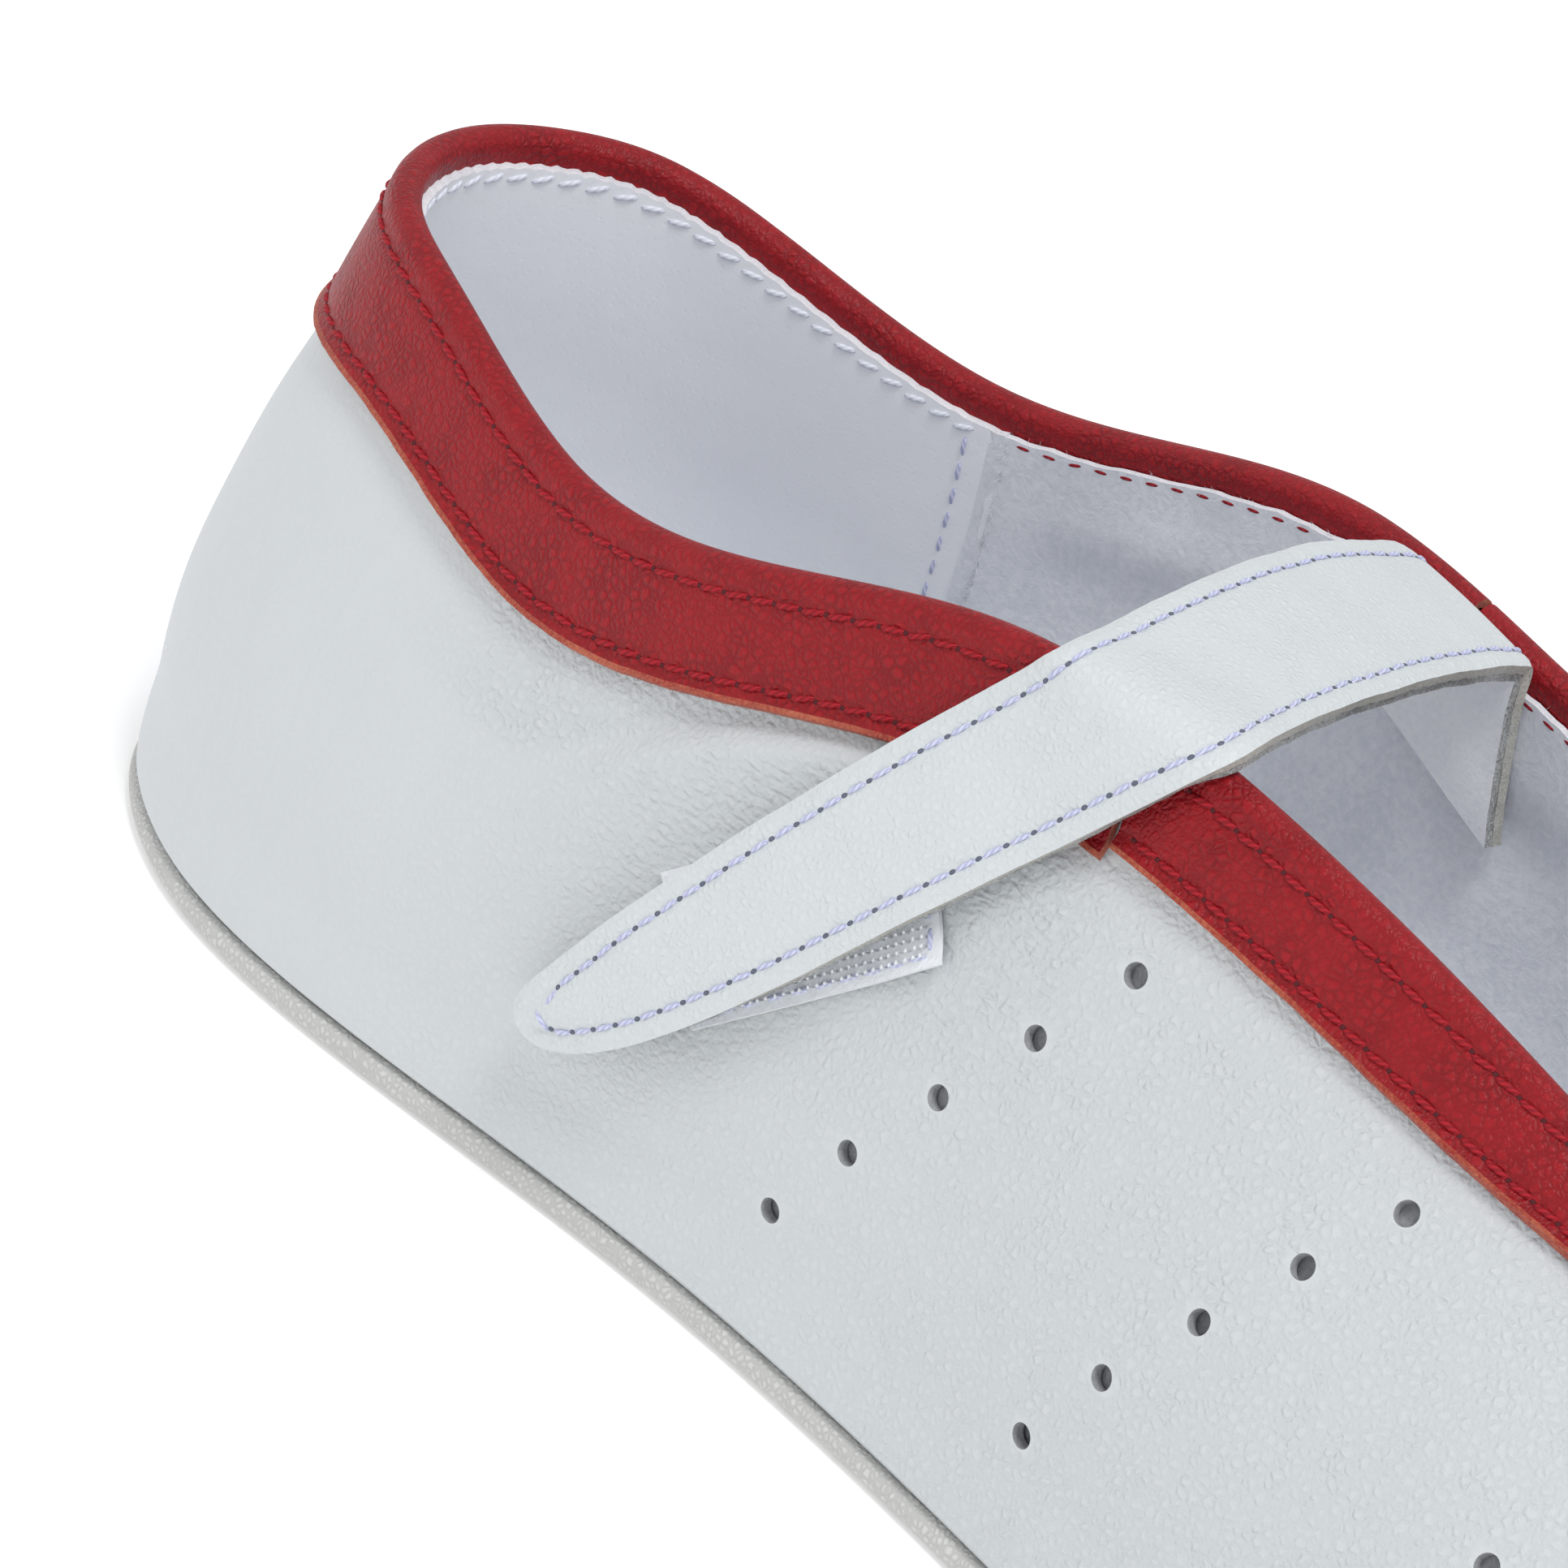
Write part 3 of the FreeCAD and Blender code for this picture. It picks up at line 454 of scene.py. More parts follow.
def repeat(name, master, point, ahead, up):
    """Copies of a small master shape, one on each frame, as one piece."""
    shape = spots_of(master) / MM
    faces = [tuple(face.vertices) for face in master.data.polygons]
    side = np.cross(up, ahead)
    spots = (point[:, None] + shape[None, :, 0:1] * ahead[:, None]
             + shape[None, :, 1:2] * side[:, None] + shape[None, :, 2:3] * up[:, None])
    count, size = len(point), len(shape)
    mesh = bpy.data.meshes.new(name)
    mesh.vertices.add(count * size)
    corners = np.concatenate([np.array(face) for face in faces])
    lengths = np.array([len(face) for face in faces])
    mesh.loops.add(count * len(corners))
    mesh.polygons.add(count * len(faces))
    shift = np.repeat(np.arange(count) * size, len(corners))
    mesh.loops.foreach_set("vertex_index", (np.tile(corners, count) + shift).astype(np.int32))
    starts = np.concatenate([[0], np.cumsum(np.tile(lengths, count))[:-1]])
    mesh.polygons.foreach_set("loop_start", starts.astype(np.int32))
    mesh.update(calc_edges=True)
    mesh.validate()
    piece = bpy.data.objects.new(name, mesh)
    bpy.context.scene.collection.objects.link(piece)
    set_spots(piece, home(spots.reshape(-1, 3)))
    note(piece, "lay", np.tile(shape, (count, 1)))
    mesh.shade_smooth()
    return piece


def drop(piece):
    bpy.data.objects.remove(piece, do_unlink=True)


def vary(ahead, up, amount):
    """Turn each frame a little in its own plane."""
    angle = random.normal(0.0, amount, len(ahead))[:, None]
    side = np.cross(up, ahead)
    return ahead * np.cos(angle) + side * np.sin(angle)


# --- Finishes --------------------------------------------------------------------------------


class Wire:
    """A socket that can be reckoned with."""

    def __init__(self, finish, socket):
        self.finish = finish
        self.socket = socket

    def reckon(self, operation, *values):
        return self.finish.node("Math", {"operation": operation}, dict(enumerate(values)))

    def __add__(self, other):
        return self.reckon("ADD", self, other)

    def __sub__(self, other):
        return self.reckon("SUBTRACT", self, other)

    def __rsub__(self, other):
        return self.reckon("SUBTRACT", other, self)

    def __mul__(self, other):
        return self.reckon("MULTIPLY", self, other)

    def __truediv__(self, other):
        return self.reckon("DIVIDE", self, other)

    def __pow__(self, other):
        return self.reckon("POWER", self, other)

    __radd__ = __add__
    __rmul__ = __mul__


class Finish:
    """One material, built from nodes."""

    def __init__(self, name):
        self.material = bpy.data.materials.new(name)
        self.material.use_nodes = True
        self.tree = self.material.node_tree
        self.tree.nodes.clear()
        self.place = self.stretch(self.node("TexCoord", {}, {}, "Object"), 1 / MM)

    def node(self, kind, settings, sockets, outlet=0):
        node = self.tree.nodes.new("ShaderNode" + kind)
        for key, value in settings.items():
            if key == "stops":
                while len(node.color_ramp.elements) < len(value):
                    node.color_ramp.elements.new(0.5)
                for element, (spot, level) in zip(node.color_ramp.elements, value):
                    element.position = spot
                    element.color = (level, level, level, 1)
            else:
                setattr(node, key, value)
        for key, value in sockets.items():
            if isinstance(value, Wire):
                self.tree.links.new(value.socket, node.inputs[key])
            else:
                node.inputs[key].default_value = value
        return Wire(self, node.outputs[outlet])

    def stretch(self, vector, amount):
        amount = (amount, amount, amount) if isinstance(amount, (int, float)) else amount
        return self.node("VectorMath", {"operation": "MULTIPLY"}, {0: vector, 1: amount})

    def shift(self, vector, other):
        return self.node("VectorMath", {"operation": "ADD"}, {0: vector, 1: other})

    def noise(self, size, detail=2.0, vector=None, rough=0.5):
        """Soft noise; size is the width of its patches in mm."""
        return self.node("TexNoise", {}, {"Vector": vector or self.place, "Scale": 1.0 / size,
                                          "Detail": detail, "Roughness": rough})

    def wander(self, vector, size, amount):
        """A vector pushed about by noise, so that a pattern loses its straight lines."""
        push = self.node("TexNoise", {}, {"Vector": vector, "Scale": 1.0 / size, "Detail": 1.0}, "Color")
        push = self.shift(push, (-0.5, -0.5, -0.5))
        return self.shift(vector, self.stretch(push, amount))

    def cells(self, size, vector=None, feature="DISTANCE_TO_EDGE"):
        return self.node("TexVoronoi", {"feature": feature}, {"Vector": vector or self.place, "Scale": 1.0 / size},
                         "Distance")

    def step(self, value, low, high):
        return self.node("MapRange", {"interpolation_type": "SMOOTHSTEP"},
                         {"Value": value, "From Min": low, "From Max": high})

    def field(self, name):
        return self.node("Attribute", {"attribute_name": name}, {}, "Vector")

    def parts(self, vector):
        split = self.node("SeparateXYZ", {}, {0: vector})
        return [Wire(self, outlet) for outlet in split.socket.node.outputs]

    def blend(self, share, first, second):
        return self.node("Mix", {"data_type": "RGBA"}, {0: share, 6: first, 7: second}, 2)

    def complete(self, colour, roughness, height, constants=None):
        """Close the finish: height is the relief in mm."""
        bump = self.node("Bump", {}, {"Strength": 1.0, "Distance": MM, "Height": height})
        sockets = {"Base Color": colour, "Roughness": roughness, "Normal": bump}
        sockets.update(constants or {})
        shader = self.node("BsdfPrincipled", {}, sockets)
        out = self.tree.nodes.new("ShaderNodeOutputMaterial")
        self.tree.links.new(shader.socket, out.inputs["Surface"])
        return self.material


def rgb(red, green, blue):
    return (red, green, blue, 1.0)


def stippled(finish, size, wandering=0.5, width=0.2):
    """Pebbles of leather: 0 in the creases, 1 on the pebbles."""
    return finish.step(finish.cells(size, finish.wander(finish.place, size * 2.4, size * wandering)), 0.0, width)


def white_leather(name, dented, bright, grain):
    """Full-grain white leather, with painted shade darkening its creases; dented pieces carry wrinkle, pebble and
    crease strengths.
    """
    finish = Finish(name)
    patches = finish.noise(14.0, 3.0)
    mottle = finish.noise(0.5, 2.0)
    pebbles = stippled(finish, grain, 0.6, 0.38)
    specks = stippled(finish, grain * 0.55, 0.6, 0.38)
    long_way = finish.stretch(finish.wander(finish.place, 4.0, 1.6), (0.40, 0.40, 1.25))
    wrinkles = finish.step(finish.cells(1.05, long_way), 0.0, 0.42)
    tall_way = finish.stretch(finish.wander(finish.place, 16.0, 7.0), (1.0, 1.0, 0.22))
    creases = finish.step(finish.cells(8.0, tall_way), 0.0, 0.07)
    if dented:
        wrinkle, pebble, crease = finish.parts(finish.field("lay"))
    else:
        wrinkle, pebble, crease = 0.14, 0.75, 0.10
    uneven = 0.65 + finish.step(finish.noise(3.2, 1.0), 0.35, 0.65) * 0.45
    relief = (pebbles * uneven * (0.085 * pebble) + specks * (0.030 * pebble) + wrinkles * uneven * (wrinkle * 0.10)
              + creases * (crease * 0.05) + mottle * 0.015 + patches * 0.25)
    # Painted shade: the hollows between pebbles, wrinkles and creases are darkened and cooled in the base colour.
    painted_hollow_shade = (1 - pebbles) * (0.20 * pebble) + (1 - wrinkles) * (wrinkle * 0.14) + (1 - creases) * (crease * 0.06)
    colour = finish.blend(patches, rgb(bright * 0.955, bright * 0.995, bright * 1.015),
                          rgb(bright, bright * 1.04, bright * 1.055))
    colour = finish.blend(painted_hollow_shade, colour, rgb(bright * 0.70, bright * 0.76, bright * 0.81))
    shine = 0.50 + patches * 0.10 - mottle * 0.12
    return finish.complete(colour, shine, relief, {"Specular IOR Level": 0.42, "Coat Weight": 0.06,
                                                   "Coat Roughness": 0.35})


def red_leather():
    finish = Finish("red_grain_leather")
    patches = finish.noise(9.0, 3.0)
    mottle = finish.noise(0.35, 2.0)
    pebbles = stippled(finish, 0.85, 0.6, 0.34)
    specks = stippled(finish, 0.42, 0.5, 0.34)
    strength = 0.55 + finish.step(finish.noise(4.0, 1.0), 0.35, 0.7) * 0.5
    relief = pebbles * strength * 0.09 + specks * 0.035 + mottle * 0.02 + patches * 0.10
    # Painted shade: the hollows between the pebbles are darkened in the base colour.
    painted_hollow_shade = (1 - pebbles) * strength * 0.55 + (1 - specks) * 0.15
    bright = finish.blend(patches, rgb(0.300, 0.0055, 0.010), rgb(0.365, 0.009, 0.015))
    colour = finish.blend(painted_hollow_shade, bright, rgb(0.15, 0.003, 0.006))
    shine = 0.44 + patches * 0.14 - mottle * 0.12
    return finish.complete(colour, shine, relief, {"Specular IOR Level": 0.26})


def fibrous(name, light, dark, coarse, depth, rough=0.92, sheen=0.15):
    """Raw cut edge, suede or other napped surface."""
    finish = Finish(name)
    strands = finish.noise(coarse, 4.0, finish.wander(finish.place, coarse * 3, coarse * 2), 0.65)
    clouds = finish.noise(7.0, 3.0)
    share = finish.step(strands * 0.7 + clouds * 0.4, 0.35, 0.75)
    colour = finish.blend(share, dark, light)
    return finish.complete(colour, rough - strands * 0.1, strands * depth,
                           {"Sheen Weight": sheen, "Sheen Roughness": 0.5, "Specular IOR Level": 0.25})


def lining_leather():
    finish = Finish("heel_lining_leather")
    pores = finish.step(finish.cells(0.62, feature="F1"), 0.05, 0.42)
    clouds = finish.noise(16.0, 2.0)
    folds = finish.noise(5.0, 2.0)
    # Partly its own white and partly painted light: this white is set well above the upper's to offset the shade
    # inside the shoe; the clouds are random tone.
    colour = finish.blend(clouds, rgb(0.92, 0.935, 0.97), rgb(0.96, 0.965, 0.99))
    relief = pores * 0.014 + folds * 0.10
    return finish.complete(colour, 0.55 + clouds * 0.1, relief, {"Specular IOR Level": 0.3})


def sole_skin():
    finish = Finish("pebbled_sole")
    pebbles = finish.step(finish.cells(0.62, finish.wander(finish.place, 1.2, 0.35)), 0.0, 0.34)
    dust = finish.noise(5.0, 3.0)
    # Painted shade: the hollows between the pebbles are darkened in the base colour.
    painted_hollow_shade = (1 - pebbles) * 0.55
    bright = finish.blend(dust, rgb(0.59, 0.585, 0.565), rgb(0.67, 0.665, 0.645))
    colour = finish.blend(painted_hollow_shade, bright, rgb(0.40, 0.40, 0.39))
    return finish.complete(colour, 0.55 + dust * 0.1, pebbles * 0.075 + dust * 0.05, {"Specular IOR Level": 0.35})


def twisted_thread(name, light, dark):
    """Two-ply thread with painted shade in the grooves between its plies; lay is the place in the stitch, x along it.
    """
    finish = Finish(name)
    along, side, lift = finish.parts(finish.field("lay"))
    angle = along.reckon("ARCTAN2", lift, side)
    plies = (angle * 2 + along * 7.6).reckon("SINE", angle * 2 + along * 7.6) * 0.5 + 0.5
    hair = finish.noise(0.12, 3.0)
    # Painted shade: the ply pattern darkens the colour in the grooves; the hair noise adds random tone.
    colour = finish.blend(plies * 0.75 + hair * 0.25, dark, light)
    return finish.complete(colour, 0.55 + hair * 0.2, plies * 0.05 + hair * 0.03, {"Specular IOR Level": 0.3})


def tape_plastic():
    finish = Finish("hook_tape_plastic")
    weave = finish.cells(0.45, finish.stretch(finish.place, (1.0, 1.0, 0.6)))
    clouds = finish.noise(4.0, 2.0)
    colour = finish.blend(clouds, rgb(0.74, 0.77, 0.80), rgb(0.86, 0.88, 0.90))
    return finish.complete(colour, 0.28 + clouds * 0.2, weave * 0.08, {"Specular IOR Level": 0.6})


def plain_board(name, light, dark, grit):
    finish = Finish(name)
    flecks = finish.noise(grit, 4.0)
    clouds = finish.noise(8.0, 2.0)
    colour = finish.blend(finish.step(flecks, 0.35, 0.65) * 0.6 + clouds * 0.3, dark, light)
    return finish.complete(colour, 0.8 + flecks * 0.1, flecks * 0.08)


# Painted shade: a near-black finish on a flat disc stands in for the shade inside a needle hole.
def painted_hole_shade(name, dark, light):
    finish = Finish(name)
    murk = finish.noise(0.2, 2.0)
    return finish.complete(finish.blend(murk, dark, light), 0.9 - murk * 0.1, murk * 0.02)


WHITE_UPPER = white_leather("white_upper_leather", True, 0.61, 0.95)
WHITE_STRAP = white_leather("white_strap_leather", False, 0.66, 0.75)
RED = red_leather()
RAW_RED = fibrous("raw_red_edge", rgb(0.50, 0.14, 0.075), rgb(0.30, 0.022, 0.018), 0.30, 0.22)
RAW_WHITE = fibrous("raw_white_edge", rgb(0.60, 0.59, 0.55), rgb(0.36, 0.35, 0.31), 0.28, 0.20)
FLESH = fibrous("flesh_side", rgb(0.46, 0.47, 0.49), rgb(0.30, 0.31, 0.33), 0.35, 0.10)
STRAP_SUEDE = fibrous("strap_suede", rgb(0.66, 0.67, 0.67), rgb(0.10, 0.10, 0.10), 0.24, 0.24)
# Partly its own light colour and partly painted light: the under ply is made near-white to offset the shade on the
# strap root inside the shoe.
UNDER_PLY = fibrous("strap_under_ply", rgb(0.95, 0.955, 0.97), rgb(0.86, 0.87, 0.89), 0.6, 0.08)
FORE_SUEDE = fibrous("forepart_suede", rgb(0.86, 0.87, 0.91), rgb(0.72, 0.74, 0.79), 0.8, 0.10, 0.9, 0.2)
FRAY = fibrous("frayed_lining", rgb(0.90, 0.91, 0.95), rgb(0.74, 0.76, 0.82), 0.25, 0.12)
HEEL_LINING = lining_leather()
SOLE_SKIN = sole_skin()
RED_THREAD = twisted_thread("red_thread", rgb(0.44, 0.010, 0.022), rgb(0.20, 0.003, 0.008))
PALE_THREAD = twisted_thread("pale_thread", rgb(0.84, 0.86, 0.93), rgb(0.64, 0.67, 0.76))
WHITE_THREAD = twisted_thread("white_thread", rgb(0.72, 0.73, 0.90), rgb(0.42, 0.44, 0.66))
HOOKS = tape_plastic()
LOOPS = fibrous("loop_pile", rgb(0.85, 0.86, 0.92), rgb(0.60, 0.62, 0.70), 0.25, 0.25)
SOCK = fibrous("sock_cloth", rgb(0.66, 0.69, 0.75), rgb(0.48, 0.51, 0.57), 0.4, 0.12)
BOARD = plain_board("insole_board", rgb(0.55, 0.46, 0.34), rgb(0.36, 0.29, 0.20), 0.5)
FOAM = plain_board("filler_foam", rgb(0.78, 0.77, 0.72), rgb(0.58, 0.57, 0.52), 0.4)
STIFFENER = plain_board("stiffener_board", rgb(0.78, 0.76, 0.68), rgb(0.60, 0.57, 0.50), 0.7)
HOLE_SHADE = painted_hole_shade("painted_hole_shade", rgb(0.07, 0.08, 0.12), rgb(0.16, 0.18, 0.24))
RED_HOLE_SHADE = painted_hole_shade("red_painted_hole_shade", rgb(0.05, 0.003, 0.006), rgb(0.11, 0.006, 0.010))

# Hidden layers keep their drawn form.
for node, finish in (("bottom_filler", FOAM), ("insole_board", BOARD), ("heel_counter", STIFFENER),
                     ("toe_puff", STIFFENER)):
    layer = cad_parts[node]
    layer.data.materials.clear()
    layer.data.materials.append(finish)

# --- Small shapes that repeat ------------------------------------------------------------------


def make_stitch(name, length, radius, sink=0.30):
    """One stitch of thread lying along x, its ends diving into the leather."""
    stitch = start_from(bpy.ops.mesh.primitive_uv_sphere_add, name, segments=8, ring_count=7, radius=1.0)
    spots = spots_of(stitch)
    x = spots[:, 2]
    full = np.sqrt(spots[:, 0] ** 2 + spots[:, 1] ** 2)
    fullness = np.where(full > 1e-6, np.clip(full, 0, 1) ** 0.45 / np.maximum(full, 1e-6), 0.0)
    shaped = np.stack([x * length / 2, spots[:, 1] * fullness * radius,
                       spots[:, 0] * fullness * radius * -0.92 - sink * x ** 4], -1)
    set_spots(stitch, shaped * MM)
    with editing(stitch):
        bpy.ops.mesh.normals_make_consistent(inside=False)
    return stitch


def make_dot(name, length, width):
    """Flat little disc at a needle hole, which carries the painted shade of the hole."""
    dot = start_from(bpy.ops.mesh.primitive_uv_sphere_add, name, segments=8, ring_count=4, radius=1.0)
    set_spots(dot, spots_of(dot) * (length / 2, width / 2, 0.05) * MM)
    return dot


def make_fibre(name):
    """One fibre, a thin curved spike of unit length along z."""
    fibre = start_from(bpy.ops.mesh.primitive_cone_add, name, vertices=3, radius1=0.03, radius2=0.004, depth=1.0,
                       location=(0, 0, 0.5))
    alone(fibre)
    bpy.ops.object.transform_apply(location=True)
    with editing(fibre):
        bpy.ops.mesh.subdivide(number_cuts=1)
    spots = spots_of(fibre)
    spots[:, 0] += 0.35 * spots[:, 2] ** 2
    set_spots(fibre, spots * MM)
    return fibre


STITCH = make_stitch("stitch", 2.45, 0.27)
FINE_STITCH = make_stitch("fine_stitch", 2.05, 0.20)
DOT = make_dot("needle_dot", 0.62, 0.44)
FIBRE = make_fibre("fibre")
PITCH = 2.5


def sew(name, master, track, body, finish, slant=0.0, lift=0.08, start=0.0, dots=None, hole=None):
    """Row of stitches along a track; dots adds discs of painted hole shade at the needle holes between them."""
    count = max(1, int((track.length - start) / PITCH))
    pitch = (track.length - start) / count
    point, ahead, up = track.frames(start + (np.arange(count) + 0.5) * pitch)
    side = np.cross(up, ahead)
    ahead = unit(ahead + side * math.tan(slant))
    row = repeat(name, master, point + up * lift, vary(ahead, up, 0.05), up)
    dress(row, [finish])
    made = [row]
    if dots:
        point, ahead, up = track.frames(start + np.arange(count + 1) * pitch)
        holes = repeat(dots, DOT, point + up * 0.01, ahead, up)
        dress(holes, [hole or HOLE_SHADE])
        made.append(holes)
    for piece in made:
        if body:
            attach(piece, body)
    return made


def fray(name, points, ups, count, length, body, finish, spread=0.5, thin=1.0):
    """Loose fibres along an edge; ups is where they point on the whole."""
    track = Track(points, ups)
    spot = np.sort(random.uniform(0.0, track.length, count))
    point, ahead, up = track.frames(spot)
    tilt = random.normal(0.0, spread, (count, 3))
    up = unit(up + tilt)
    side = unit(np.cross(up, random.normal(0.0, 1.0, (count, 3))))
    size = length * random.uniform(0.45, 1.3, count)
    point = point + random.normal(0.0, 0.10, (count, 3))
    shape = spots_of(FIBRE) / MM
    piece = repeat(name, FIBRE, point, side, up)
    spots = (point[:, None] + shape[None, :, 0:1] * side[:, None] * size[:, None, None]
             + shape[None, :, 1:2] * np.cross(up, side)[:, None] * thin
             + shape[None, :, 2:3] * up[:, None] * size[:, None, None])
    set_spots(piece, home(spots.reshape(-1, 3)))
    dress(piece, [finish])
    if body:
        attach(piece, body)
    return piece


# --- Sole ----------------------------------------------------------------------------------------

RIM_SECTION = [(5.0, 0.0), (1.2, 0.0), (0.6, 0.05), (0.2, 0.17), (0.03, 0.32), (0.0, 0.45), (0.1, 0.58), (0.35, 0.68),
               (0.8, 0.74), (1.6, 0.80), (2.4, 0.97), (4.5, 1.0)]
SOCK_SECTION = [(8.0, 5.86), (4.75, 5.86), (4.75, 7.1), (5.2, 7.44), (9.0, 7.44)]


def close_lids(piece):
    with editing(piece):
        bpy.ops.mesh.fill_holes(sides=0)
        bpy.ops.mesh.normals_make_consistent(inside=False)


def ring_of(name, along, across, section):
    """Closed slab: a section swept round the outline, with its two lids filled."""
    def place(around, over):
        point, outward = sole_edge(around)
        spot = section(over)
        return point - outward * spot[:, 0:1] + np.stack([0 * around, 0 * around, spot[:, 1]], -1)
    piece = cut_sheet(name, along, across, place)
    join_ends(piece)
    close_lids(piece)
    smooth_faces(piece, 50)
    return piece


def make_sole():
    slabs = [("moulded_sole", 520, 26, np.array(RIM_SECTION) * (1.0, SOLE), SOLE_SKIN, "sole", "outsole"),
             ("sock_pad", 260, 14, SOCK_SECTION, SOCK, "sock", "sock_liner")]
    for name, along, across, section, finish, record_slot, node in slabs:
        slab = ring_of(name, along, across, follow_line(section))
        dress(slab, [finish])
        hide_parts(node)
        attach(slab, "shoe")


make_sole()

# --- Upper -----------------------------------------------------------------------------------------

# The margin tucked under the foot: share of its width, distance in from the wall, height.
MARGIN = [(0.0, 9.0, 3.27), (0.35, 5.5, 3.27), (0.65, 2.4, 3.25), (0.8, 0.9, 3.1), (0.92, -0.3, 2.55),
          (1.0, -0.95, 2.6)]
VENT_ROWS = [(0.1991, 0.2408, 5), (0.2432, 0.2936, 5), (0.2890, 0.3430, 5), (0.3360, 0.3900, 4), (0.3800, 0.4200, 3)]
VENT_LOW, VENT_STEP, VENT_BEND, VENT_RADIUS = 0.162, 0.146, 1.15, 1.05
MARGIN_SHARE = 0.12


def vent_places():
    shares, climbs = [], []
    for start, stop, count in VENT_ROWS:
        for k in range(count):
            shares.append(start + (stop - start) * (k / 4) ** VENT_BEND)
            climbs.append(VENT_LOW + VENT_STEP * k)
    shares, climbs = np.array(shares), np.array(climbs)
    outer = skin(shares, climbs)[0]
    inner = [find_on_side(spot[0], spot[2], 1 - share, climb) for spot, share, climb in zip(outer, shares, climbs)]
    shares = np.concatenate([shares, [float(pair[0]) for pair in inner]])
    climbs = np.concatenate([climbs, [float(pair[1]) for pair in inner]])
    return shares, climbs


def upper_place(around, over):
    climb = np.clip((over - MARGIN_SHARE) / (1 - MARGIN_SHARE), 0, 1)
    wall = soft_skin(around, climb)[0]
    edge, outward = sole_edge(around)
    table = np.array(MARGIN)
    spot = over / MARGIN_SHARE
    inset = np.interp(spot, table[:, 0], table[:, 1])
    foot = edge - outward * (RIM + inset)[:, None]
    foot[:, 2] = np.interp(spot, table[:, 0], table[:, 2])
    return np.where((over < MARGIN_SHARE - 1e-6)[:, None], foot, wall)


def upper_grain(around, over):
    """Wrinkle, pebble and crease strength over the upper; the finish uses each for the relief and for the painted
    shade in its hollows.
    """
    climb = np.clip((over - MARGIN_SHARE) / (1 - MARGIN_SHARE), 0, 1)
    around = np.mod(around, 1.0)
    point = skin(around, climb)[0]
    x, z = point[:, 0], point[:, 2]
    below = below_at(around, climb)
    outer = around < 0.5
    line = reading(PILLOW_LINE, x)
    past = below - line
    under_band = smooth(x, 58, 74) * (1 - smooth(x, 104, 122)) * np.exp(-(np.maximum(past - 1.0, 0) / 15.0) ** 2)
    above = smooth(x, 36, 56) * (1 - smooth(x, 78, 92)) * (1 - smooth(past, -2.0, 1.0)) * smooth(below, 9, 10.5)
    tape = np.exp(-(((x - 108) / 9.0) ** 2 + ((z - 40) / 9.0) ** 2))
    puckers = 0.95 * under_band * smooth(past, 0, 3) + 0.6 * above + 0.55 * tape
    wrinkle = np.where(outer, puckers, 0.35 * under_band) + 0.05
    pebble = 0.22 + 0.55 * smooth(x, 40, 70) + 0.35 * smooth(x, 95, 130) + 0.5 * above
    crease = 0.35 * (1 - smooth(x, 30, 60)) + 0.10
    return np.stack([wrinkle, pebble, crease], -1)


def make_upper():
    upper = cut_sheet("white_upper", 460, 70, upper_place, upper_grain)
    join_ends(upper)
    dress(upper, [WHITE_UPPER, FLESH, RAW_WHITE])
    thicken(upper, LEATHER, rim=2, under=1)
    shares, climbs = vent_places()
    point, normal, up = soft_skin(shares, climbs)
    punch = start_from(bpy.ops.mesh.primitive_cylinder_add, "punch", vertices=22, radius=VENT_RADIUS * MM,
                       depth=5.0 * MM)
    punches = repeat("punches", punch, point - normal * 0.55, up, normal)
    punches.data.materials.append(FLESH)
    finish_modifier(upper, "BOOLEAN", object=punches, operation="DIFFERENCE", solver="MANIFOLD")
    drop(punches)
    drop(punch)
    smooth_faces(upper, 38)
    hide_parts("upper")
    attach(upper, "shoe")


make_upper()

# --- Linings ---------------------------------------------------------------------------------------

SEAM = 0.1222
PUFF_START = 0.4150
LINING_TOP = 1.3
LINING_FOOT = 5.95


def climb_at_level(share, level):
    low = np.zeros(np.shape(share))
    high = low + 0.6
    for _ in range(24):
        middle = (low + high) / 2
        under = skin(share, middle)[0][..., 2] < level
        low = np.where(under, middle, low)
        high = np.where(under, high, middle)
    return high


def fore_depth(share, below):
    side = np.minimum(np.mod(share, 1.0), 1 - np.mod(share, 1.0))
    close = smooth(below, 7.5, 14.0) * smooth(side, SEAM + 0.004, SEAM + 0.02)
    close = close * (1 - smooth(side, PUFF_START - 0.035, PUFF_START - 0.008))
    return WALL_STACK - (STIFF + GLUE) * close


def ragged(distance, size):
    """Uneven line of a cut or frayed edge, about -1 to 1."""
    return (np.sin(distance / size) + np.sin(distance / size * 2.3 + 1.0) * 0.7
            + np.sin(distance / size * 4.9 + 2.0) * 0.5) / 2.2


def lining_place(start, stop, heel):
    def place(along, over):
        share = stop + (start - stop) * along
        top = LINING_TOP - 0.15 + 0.16 * ragged(along * 260, 0.8)
        high = climb_at(share, top)
        base = climb_at_level(share, LINING_FOOT)
        climb = base + (high - base) * over
        below = below_at(share, climb)
        depth = (WALL_STACK + 0 * share if heel else fore_depth(share, below)) + LINING
        point = skin(share, climb)[0]
        x, z = point[:, 0], point[:, 2]
        fold = (0.28 * np.sin(x / 7 + z / 5) * np.sin(z / 9 - x / 15 + 1) + 0.16 * np.sin(x / 3.1 - z / 5.5)) * (
            0.35 if heel else 1.0)
        fold = np.maximum(fold, -0.02) * smooth(below, 2.5, 9.0)
        return skin(share, climb, -depth - fold)[0]
    return place


